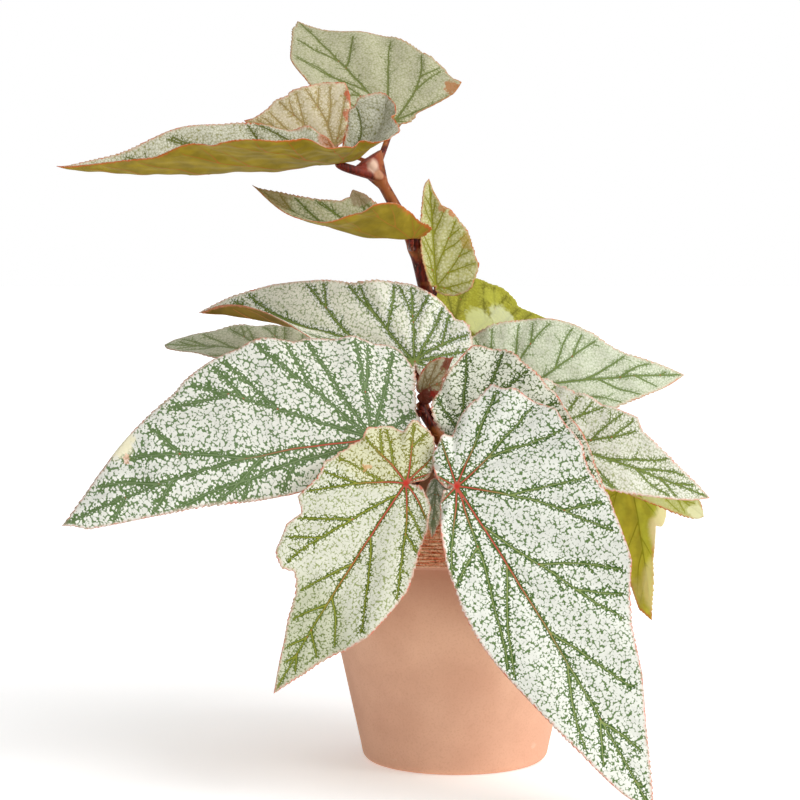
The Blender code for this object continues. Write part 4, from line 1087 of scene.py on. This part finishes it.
def turned(profile, steps):
    """A turned grid of points and its quads, with the axis closed at both ends of the profile."""
    profile = np.array(profile, float)
    angles = np.arange(steps) * 2 * math.pi / steps
    points = np.stack([np.multiply.outer(profile[:, 0], np.cos(angles)),
                       np.multiply.outer(profile[:, 0], np.sin(angles)),
                       np.repeat(profile[:, 1:2], steps, 1)], 2)
    ids = np.arange(len(profile) * steps).reshape(len(profile), steps)
    upper, lower = ids[:-1], ids[1:]
    quads = np.stack([upper, lower, np.roll(lower, -1, 1), np.roll(upper, -1, 1)], 2).reshape(-1, 4)
    return points.reshape(-1, 3), quads


def arc(centre, radius, start, end, parts):
    """Points of a round edge, by angles in degrees from the radial direction."""
    angles = np.radians(np.linspace(start, end, parts + 1))
    return [(centre[0] + radius * math.cos(a), centre[1] + radius * math.sin(a)) for a in angles]


def line_points(start, end, step):
    """Evenly spaced points from start up to, but without, end."""
    parts = max(1, round(math.dist(start, end) / step))
    return [tuple(row) for row in np.linspace(start, end, parts, endpoint=False)]


# The turned pot: points round it and down its band, and the ridges combed into the band
POT_STEPS = 220
BAND_STEP = 0.36
RIDGE_PITCH = 1.35
FINE_PITCH = 0.74
RIDGE_DEPTH = 0.75


def pot_profile():
    """The pot's wall in section, from its floor's middle over the rim to the middle of its underside."""
    brow = POT_HEIGHT - RIM_ROUND
    tuck = RIM_FOOT + RIM_FOOT_TUCK
    mouth = POT_INNER_WALL[-1][0]
    below = RIM_FOOT - GROOVE_HEIGHT
    groove_end = (POT_BASE_RADIUS + POT_FLARE * below, below)
    base = POT_BASE_RADIUS + POT_FLARE * POT_BASE_ROUND
    profile = [(POT_INNER_WALL[0][0] * share, POT_FLOOR) for share in (0.02, 0.3, 0.6, 0.85)]
    for start, end in zip(POT_INNER_WALL[:-2], POT_INNER_WALL[1:-1]):
        profile += line_points(start, end, 6)
    profile += line_points(POT_INNER_WALL[-2], (mouth, brow), 4)
    profile += arc((mouth + RIM_ROUND, brow), RIM_ROUND, 180, 90, 6)
    profile += arc((RIM_RADIUS - RIM_ROUND, brow), RIM_ROUND, 90, 0, 6)[:-1]
    profile += line_points((RIM_RADIUS, brow), (RIM_RADIUS, tuck), BAND_STEP)
    profile += arc((RIM_RADIUS - RIM_FOOT_TUCK, tuck), RIM_FOOT_TUCK, 0, -90, 3)
    neck = POT_BASE_RADIUS + POT_FLARE * RIM_FOOT - GROOVE_DEPTH
    profile += line_points((neck, RIM_FOOT), groove_end, 1)
    profile += line_points(groove_end, (base, POT_BASE_ROUND), 3)
    profile += arc((base - POT_BASE_ROUND, POT_BASE_ROUND), POT_BASE_ROUND, -12, -90, 6)
    return profile + [(DRAIN_CIRCLE * share, 0) for share in (1.9, 1.3, 1.0, 0.6, 0.02)]


def band_relief(points):
    """Rough combed ridges round the rim band: rings that wander, thin out and break off."""
    angle = np.arctan2(points[:, 1], points[:, 0])
    height = points[:, 2]
    radius = np.hypot(points[:, 0], points[:, 1])
    rng = np.random.default_rng(40)
    wander = sum(rng.uniform(0.1, 0.3) * np.sin(k * angle + rng.uniform(*PHASES)) for k in (2, 3, 5, 7))
    rings = 0.5 + 0.5 * np.cos(2 * math.pi * (height + 0.6 * wander) / RIDGE_PITCH)
    fine = 0.5 + 0.5 * np.cos(2 * math.pi * (height + 0.5 * wander) / FINE_PITCH + 3 * np.sin(6 * angle))
    rough = sum(rng.uniform(0.5, 1) * np.sin(k * angle + m * height + rng.uniform(*PHASES))
                for k, m in ((23, 1.9), (41, -2.7), (67, 3.3), (88, 1.1), (97, -4.1))) / 3
    depth = (0.5 + 0.3 * np.sin(3 * angle + 0.4 * height)) * (1 - rings) + 0.25 * (1 - fine) + 0.26 * rough
    on_band = np.clip(height - RIM_FOOT - 0.6, 0, 1) * np.clip((POT_HEIGHT - 1.2 - height) / 1.5, 0, 1)
    on_band = on_band * (radius > RIM_RADIUS - 1.5)
    inward = np.stack([-np.cos(angle), -np.sin(angle), np.zeros(len(angle))], 1)
    return points + inward * (RIDGE_DEPTH * np.clip(depth, 0, 1.2) * on_band)[:, None], on_band


def make_pot():
    points, quads = turned(pot_profile(), POT_STEPS)
    points, on_band = band_relief(points)
    mesh = mesh_from("clay_pot", points, quads[:, ::-1].tolist())
    add_values(mesh, "band", on_band)
    weld(mesh)
    mesh.materials.append(clay_material())
    pot = place("clay_pot", mesh, "terracotta", "pot")
    for i in range(DRAIN_COUNT):
        angle = 2 * math.pi * i / DRAIN_COUNT
        cut_drain(pot, DRAIN_CIRCLE * math.cos(angle), DRAIN_CIRCLE * math.sin(angle))


def weld(mesh):
    """Close the axis, where the turned rows of points nearly meet."""
    shape = bmesh.new()
    shape.from_mesh(mesh)
    bmesh.ops.holes_fill(shape, edges=shape.edges, sides=0)
    bmesh.ops.recalc_face_normals(shape, faces=shape.faces)
    shape.to_mesh(mesh)
    shape.free()
    mesh.shade_smooth()


def cut_drain(pot, x, y):
    """Cut a drain hole through the pot's floor."""
    mesh = bpy.data.meshes.new("drain")
    shape = bmesh.new()
    bmesh.ops.create_cone(shape, cap_ends=True, segments=28, radius1=DRAIN_RADIUS * MM,
                          radius2=DRAIN_RADIUS * MM, depth=0.02)
    shape.to_mesh(mesh)
    shape.free()
    cutter = linked("drain", mesh)
    cutter.location = (x * MM, y * MM, 0.005)
    cut = pot.modifiers.new("drain", "BOOLEAN")
    cut.operation = "DIFFERENCE"
    cut.object = cutter
    cut.solver = "EXACT"
    mesh = settled(pot)
    pot.modifiers.remove(cut)
    pot.data = mesh
    bpy.data.objects.remove(cutter)


def clay_material():
    """Pale matt clay with painted shade under the rim, a copper-red combed band with painted highlight and
    shade on its bumps, and salts near its foot.
    """
    shader = Shader("clay")
    place = shader.place()
    height = shader.height(place)
    band = shader.value("band")
    streaks = shader.noise(shader.combine("MULTIPLY", place, (0.25, 0.25, 2.6)), 1.5, 5.0)
    grain = shader.noise(place, 0.8, 4.0)
    body = shader.mix(shader.swells(place, 26.0, 4.0, 0.3, 0.7), (236, 187, 158), (223, 172, 144))
    body = shader.cover(body, (198, 140, 112), grain, 0.45, 0.75, 0.0, 0.25)
    # The band's pale streaks and flecks lie on the raised parts of its bumps and the dark flecks on the low
    # ones: painted highlight and painted shade over its own copper-red
    copper_with_painted_light = shader.mix(shader.ramp(streaks, 0.38, 0.62), (232, 116, 80), (255, 206, 174))
    copper_with_painted_light = shader.cover(copper_with_painted_light, (132, 52, 28), grain, 0.36, 0.47, 0.6, 0.0)
    copper_with_painted_light = shader.cover(copper_with_painted_light, (255, 206, 176), grain, 0.54, 0.66, 0.0, 0.6)
    colour = shader.mix(band, body, copper_with_painted_light)
    # Painted shade: the body darkens towards the rim's foot, under the overhanging band
    painted_shade_under_rim = shader.math("MULTIPLY", shader.ramp(height, RIM_FOOT - 34.0, RIM_FOOT, 0.0, 0.6),
                       shader.ramp(band, 0.0, 0.3, 1.0, 0.0))
    colour = shader.mix(painted_shade_under_rim, colour, (172, 112, 92))
    salts = shader.swells(shader.combine("MULTIPLY", place, (1, 1, 2.5)), 9.0, 4.0, 0.66, 0.78, 0.0, 0.35)
    salts = shader.math("MULTIPLY", salts, shader.ramp(height, 22.0, 8.0))
    colour = shader.mix(salts, colour, (240, 206, 182))
    rough = shader.relief(grain, 0.12, 0.5)
    rough = shader.relief(shader.math("MULTIPLY", streaks, band), 0.7, 1.0, rough)
    rough = shader.relief(shader.math("MULTIPLY", grain, band), 0.6, 0.9, rough)
    return shader.finish(colour, 0.88, rough, 0.25)


# Soil: points round it, its lumps' lengths, how steep and how high they are, and the grains on it with how
# far out, how big and how sunk they are
SOIL_STEPS = 150
LUMP_LENGTHS = (24, 13, 8, 5, 3.4, 2.4)
LUMP_STEEPNESS = 0.035
LUMP_HEIGHT = 0.55
GRAIN_COUNT = 620
GRAIN_REACH = 50
GRAIN_SIZES = (0.6, 2.0)
GRAIN_SUNK = 0.6


def soil_height(share):
    """The top's height at a share of the way from the pot's axis to its wall."""
    return SOIL_MIDDLE_HEIGHT - (SOIL_MIDDLE_HEIGHT - SOIL_EDGE_HEIGHT) * share ** 2


def make_soil():
    """Loose potting soil: a lumpy top with grains and bits of bark on it."""
    profile = [(share * SOIL_RADIUS, soil_height(share)) for share in np.linspace(0.005, 1, 70)]
    profile += [(POT_INNER_WALL[1][0], POT_INNER_WALL[1][1]), (POT_INNER_WALL[0][0] - 0.3, POT_FLOOR + 0.3),
                (0.3, POT_FLOOR + 0.3)]
    points, quads = turned(profile, SOIL_STEPS)
    rng = np.random.default_rng(7)
    lumps = np.zeros(len(points))
    for length in LUMP_LENGTHS:
        for _ in range(3):
            heading = rng.uniform(0, math.pi)
            across = points[:, 0] * math.cos(heading) + points[:, 1] * math.sin(heading)
            lumps += LUMP_STEEPNESS * length * np.sin(2 * math.pi * across / length + rng.uniform(*PHASES))
    radius = np.hypot(points[:, 0], points[:, 1])
    on_top = (points[:, 2] > 100) * np.clip((SOIL_RADIUS - radius) / 2, 0, 1)
    points[:, 2] = np.minimum(points[:, 2] + LUMP_HEIGHT * lumps * on_top, POT_HEIGHT - 4)
    mesh = mesh_from("soil_bed", points, quads[:, ::-1].tolist())
    add_grains(mesh, rng)
    weld(mesh)
    mesh.materials.append(soil_material())
    place("soil_bed", mesh, "soil", "soil")


def add_grains(mesh, rng):
    """Small lumps and chips strewn on the soil, half sunk in it."""
    shape = bmesh.new()
    shape.from_mesh(mesh)
    for _ in range(GRAIN_COUNT):
        radius = GRAIN_REACH * math.sqrt(rng.uniform())
        angle = rng.uniform(0, 2 * math.pi)
        size = rng.uniform(*GRAIN_SIZES)
        grain = bmesh.ops.create_icosphere(shape, subdivisions=1, radius=size * MM)["verts"]
        stretch = Vector(rng.uniform(0.6, 1.5, 3))
        for vert in grain:
            vert.co = vert.co * stretch * rng.uniform(0.85, 1.15)
        height = soil_height(radius / SOIL_RADIUS) - GRAIN_SUNK
        spot = Vector((radius * math.cos(angle), radius * math.sin(angle), height))
        bmesh.ops.translate(shape, verts=grain, vec=spot * MM)
    shape.to_mesh(mesh)
    shape.free()


def soil_material():
    """Dark crumbs with paler chips."""
    shader = Shader("potting_soil")
    place = shader.place()
    lumps = shader.noise(place, 2.5, 5.0)
    colour = shader.mix(shader.ramp(lumps, 0.3, 0.75), (50, 36, 28), (104, 80, 60))
    colour = shader.mix(shader.swells(place, 1.1, 2.0, 0.66, 0.72), colour, (150, 126, 98))
    return shader.finish(colour, 0.95, shader.relief(lumps, 0.6, 0.9), 0.2)


def cane_line(name, parts=14):
    """The cane's centre line with its radius in the last column, swollen where stalks leave it."""
    line = through(CANES[name], parts)
    heights = {leaf["stalk"].height for leaf in LEAVES.values() if leaf["stalk"].cane == name}
    swelling = sum(np.exp(-((line[:, 2] - height) / NODE_LENGTH) ** 2) for height in sorted(heights))
    line[:, 3] *= 1 + NODE_SWELLING * np.clip(swelling, 0, 1)
    return line


def on_cane(name, height):
    """The cane's centre at a height, and the cane's direction there."""
    line = through(CANES[name], 12)
    centre, above = (np.array([np.interp(level, line[:, 2], line[:, k]) for k in range(3)])
                     for level in (height, height + 1))
    ahead = above - centre
    if np.linalg.norm(ahead) < 0.5:
        ahead = line[-1, :3] - line[-3, :3]
    return centre, ahead / np.linalg.norm(ahead)


def stalk_line(blade, stalk):
    """The stalk as a cubic Bezier curve from the cane's middle up to the blade's underside."""
    start, _ = on_cane(stalk.cane, stalk.height)
    down = blade.under()
    end = blade.base + down * 0.35
    leave = start + np.array(stalk.lead, float)
    arrive = end + down * stalk.approach
    t = np.linspace(0, 1, 40)[:, None]
    return ((1 - t) ** 3 * start + 3 * (1 - t) ** 2 * t * leave
            + 3 * (1 - t) * t ** 2 * arrive + t ** 3 * end)


def tube(points, radii, sides):
    """A closed tube along the points, as points and faces."""
    ahead = np.gradient(points, axis=0)
    ahead /= np.linalg.norm(ahead, axis=1)[:, None]
    side = np.cross(ahead[0], (0.3, 0.9, 0.1))
    side /= np.linalg.norm(side)
    turns = np.arange(sides) * 2 * math.pi / sides
    rows = []
    for place, forward, radius in zip(points, ahead, radii):
        side = side - forward * (side @ forward)
        side /= np.linalg.norm(side)
        up = np.cross(forward, side)
        ring = np.multiply.outer(np.cos(turns), side) + np.multiply.outer(np.sin(turns), up)
        rows.append(place + radius * ring)
    rows = np.concatenate(rows)
    ids = np.arange(len(points) * sides).reshape(len(points), sides)
    low, high = ids[:-1], ids[1:]
    quads = np.stack([low, np.roll(low, -1, 1), np.roll(high, -1, 1), high], 2).reshape(-1, 4).tolist()
    return rows, quads + [ids[0][::-1].tolist(), ids[-1].tolist()]


def gathered(pieces):
    """Several point and face lists as one."""
    points, faces, start = [], [], 0
    for piece_points, piece_faces in pieces:
        points.append(piece_points)
        faces += [[corner + start for corner in face] for face in piece_faces]
        start += len(piece_points)
    return np.concatenate(points), faces


def bract_points(name, bract, rng):
    """A crumpled dry scale that clasps its cane at the foot and stands off towards its ragged end."""
    centre, ahead = on_cane(name, bract.height)
    heading = math.radians(bract.heading)
    out = np.array([math.cos(heading), math.sin(heading), 0])
    out -= ahead * (out @ ahead)
    out /= np.linalg.norm(out)
    side = np.cross(ahead, out)
    along, across = np.meshgrid(np.linspace(0, 1, 15), np.linspace(-1, 1, 17), indexing="ij")
    end = 1 - 0.18 * np.abs(np.sin(across * 5 + rng.uniform(0, 6))) - 0.25 * across ** 2
    up = along * end * bract.length * math.cos(math.radians(BRACT_LEAN))
    width = BRACT_HALF_WIDTH * (1 - 0.7 * along ** 1.6)
    bow = 1.9 * (1 - 0.55 * along)
    stand = 0.5 + along * bract.length * math.sin(math.radians(BRACT_LEAN))
    crumple = 0.35 * np.sin(7 * across + 5 * along + rng.uniform(0, 6)) * (0.3 + along)
    crumple += 0.25 * np.sin(13 * along - 6 * across + rng.uniform(0, 6)) * along
    turn = across * 1.35
    lift = stand + bow * np.cos(turn) + crumple
    return (centre + np.multiply.outer(up, ahead) + np.multiply.outer(lift, out)
            + np.multiply.outer(width * np.sin(turn), side))


def sheet(rows, thickness):
    """A closed thin sheet over a grid of points, as points and faces."""
    normal = np.cross(np.gradient(rows, axis=0), np.gradient(rows, axis=1))
    normal /= np.maximum(np.linalg.norm(normal, axis=2), 1e-9)[..., None]
    high, wide = rows.shape[:2]
    ids = np.arange(high * wide).reshape(high, wide)
    front = np.stack([ids[:-1, :-1], ids[:-1, 1:], ids[1:, 1:], ids[1:, :-1]], 2).reshape(-1, 4)
    rim = np.concatenate([ids[0, :-1], ids[:-1, -1], ids[-1, :0:-1], ids[:0:-1, 0]])
    after = np.roll(rim, -1)
    count = high * wide
    sides = np.stack([rim, rim + count, after + count, after], 1)
    points = np.concatenate([rows + normal * thickness / 2, rows - normal * thickness / 2]).reshape(-1, 3)
    return points, np.concatenate([front, front[:, ::-1] + count, sides]).tolist()


def sheath_piece():
    """The flat funnel at the tall cane's top, where the stalks of the top leaves part."""
    foot, _ = on_cane("cane_main", SHEATH_HEIGHT)
    run = np.linspace(0, 1, 12)
    radii = np.interp(run, (0, 1), SHEATH_RADII)
    points, faces = tube(foot + np.multiply.outer(run, SHEATH_AHEAD), radii, SHEATH_SIDES)
    deep = np.array((-SHEATH_AHEAD[1], SHEATH_AHEAD[0], 0.0))
    deep /= np.linalg.norm(deep)
    return points + np.multiply.outer((SHEATH_DEPTH - 1) * ((points - foot) @ deep), deep), faces


def stalk_piece(blade, stalk):
    points = stalk_line(blade, stalk)
    run = np.linspace(0, 1, len(points))
    radii = stalk.radius * (1 + STALK_FLARE * np.exp(-(run / 0.06) ** 2) - STALK_TAPER * run)
    return tube(points, radii, STALK_SIDES)


def fused(name, pieces):
    """One smooth skin round all the pieces, as a mesh."""
    skin = linked(name, mesh_from(name, *gathered(pieces)))
    fuse = skin.modifiers.new("fuse", "REMESH")
    fuse.mode = "VOXEL"
    fuse.voxel_size = FUSE_SIZE * MM
    smooth = skin.modifiers.new("smooth", "SMOOTH")
    smooth.factor = 0.5
    smooth.iterations = 4
    mesh = settled(skin)
    bpy.data.objects.remove(skin)
    return mesh


def make_cane(name, blades):
    """One cane with the stalks of its leaves, fused to a single skin, and its dry bracts."""
    line = cane_line(name)
    pieces = [tube(line[:, :3], line[:, 3], CANE_SIDES)]
    for leaf_name, leaf in LEAVES.items():
        if leaf["stalk"].cane == name:
            pieces.append(stalk_piece(blades[leaf_name], leaf["stalk"]))
    if name == "cane_main":
        pieces.append(sheath_piece())
    mesh = fused(name, pieces)
    rng = np.random.default_rng(len(name))
    bracts = [sheet(bract_points(name, bract, rng), BRACT_THICKNESS) for bract in BRACTS[name]]
    shape = bmesh.new()
    shape.from_mesh(mesh)
    shape.from_mesh(mesh_from("dry", *gathered(bracts)))
    bmesh.ops.recalc_face_normals(shape, faces=shape.faces)
    shape.to_mesh(mesh)
    shape.free()
    mesh.name = "stem_" + name[5:]
    mesh.shade_smooth()
    mesh.materials.clear()
    mesh.materials.append(cane_material(name))
    place("stem_" + name[5:], mesh, "cane", name)


def cane_material(name):
    """Glossy dark red skin with lengthwise streaks and pale dots, and the tall cane's funnel with its tones
    and a painted pale highlight.
    """
    shader = Shader("skin_" + name)
    place = shader.place()
    long_place = shader.combine("MULTIPLY", place, (1.0, 1.0, 0.22))
    streaks = shader.noise(long_place, 1.1, 4.0)
    cloud = shader.noise(place, 9.0, 3.0)
    colour = shader.mix(shader.ramp(streaks, 0.34, 0.68), (54, 6, 2), (132, 38, 16))
    colour = shader.cover(colour, (190, 118, 58), cloud, 0.5, 0.66, 0.0, 0.55)
    dots = shader.swells(long_place, 0.9, 1.0, 0.68, 0.74, 0.0, 0.4)
    colour = shader.mix(dots, colour, (206, 160, 122))
    if name == "cane_main":
        foot, _ = on_cane(name, SHEATH_HEIGHT)
        ragged = shader.ramp(cloud, 0.3, 0.7, -1.0, 1.0)
        # The funnel's tones; the two pale ones are a painted highlight
        for run, radius, strength, tone in SHEATH_TONES_AND_HIGHLIGHT:
            middle = foot + run * np.array(SHEATH_AHEAD) + SHEATH_FRONT
            reach = shader.math("ADD", shader.combine("DISTANCE", place, tuple(middle.tolist())), ragged)
            colour = shader.cover(colour, tone, reach, 0.5 * radius, 1.2 * radius, strength, 0.0)
    return shader.finish(colour, 0.5, shader.relief(streaks, 0.15, 0.6), 0.28)


# The floor's width in metres and how much it glows, the suns' headings, heights, strengths and softness,
# how bright the surroundings are at the left and at the right, and where those levels are reached
FLOOR_SIZE = 8
FLOOR_GLOW = 0.35
KEY_SUN = (52, 36, 0.46, 40)
OVERHEAD_SUN = (0, 78, 0.22, 90)
WORLD_LIGHT = (0.06, 0.8)
WORLD_ENDS = (-0.7, 0.7)


def stage_material():
    shader = Shader("floor")
    shader.surface.inputs["Emission Color"].default_value = (1, 1, 1, 1)
    shader.surface.inputs["Emission Strength"].default_value = FLOOR_GLOW
    return shader.finish((250, 250, 250), 0.9, None, 0.1)


def make_stage():
    bpy.ops.mesh.primitive_plane_add(size=FLOOR_SIZE, location=(0, 0, 0))
    floor = bpy.context.object
    floor.name = "floor"
    floor.data.materials.append(stage_material())


def add_sun(name, heading, height, strength, softness):
    """A wide soft light from far away: its heading from the camera's side and its height, in degrees."""
    data = bpy.data.lights.new(name, "SUN")
    data.energy = strength * math.pi
    data.angle = math.radians(softness)
    turn, rise = math.radians(heading), math.radians(height)
    towards = Vector((math.sin(turn) * math.cos(rise), -math.cos(turn) * math.cos(rise), math.sin(rise)))
    linked(name, data).rotation_euler = towards.to_track_quat("Z", "Y").to_euler()


def make_lights():
    """Two soft suns and pale surroundings, which the camera sees as plain white."""
    add_sun("key", *KEY_SUN)
    add_sun("overhead", *OVERHEAD_SUN)
    world = bpy.data.worlds.new("studio")
    bpy.context.scene.world = world
    world.use_nodes = True
    nodes, links = world.node_tree.nodes, world.node_tree.links
    background = nodes["Background"]
    background.inputs["Color"].default_value = (1, 1, 1, 1)
    place = nodes.new("ShaderNodeTexCoord")
    split = nodes.new("ShaderNodeSeparateXYZ")
    links.new(place.outputs["Generated"], split.inputs[0])
    across = nodes.new("ShaderNodeMapRange")
    links.new(split.outputs["X"], across.inputs[0])
    for socket, given in zip(list(across.inputs)[1:5], (*WORLD_ENDS, *WORLD_LIGHT)):
        socket.default_value = given
    bright = nodes.new("ShaderNodeMapRange")
    seen = nodes.new("ShaderNodeLightPath")
    links.new(seen.outputs["Is Camera Ray"], bright.inputs[0])
    links.new(across.outputs[0], bright.inputs[3])
    bright.inputs[4].default_value = 1.0
    links.new(bright.outputs[0], background.inputs["Strength"])


def make_camera():
    data = bpy.data.cameras.new("camera")
    data.lens = LENS
    data.sensor_width = 36
    data.clip_start = 0.01
    camera = linked("camera", data)
    eye, aim = Vector(EYE) * MM, Vector(AIM) * MM
    camera.location = eye
    camera.rotation_euler = (aim - eye).to_track_quat("-Z", "Y").to_euler()
    bpy.context.scene.camera = camera
    bpy.context.scene.view_settings.view_transform = "Standard"


def main():
    make_camera()
    make_lights()
    make_stage()
    make_pot()
    make_soil()
    blades = {}
    for name, leaf in LEAVES.items():
        blades[name] = Blade(**{key: value for key, value in leaf.items() if key != "stalk"})
    for name in CANES:
        make_cane(name, blades)
    for name, blade in blades.items():
        make_leaf(name, blade, LOOKS[name])


main()
bpy.context.view_layer.update()
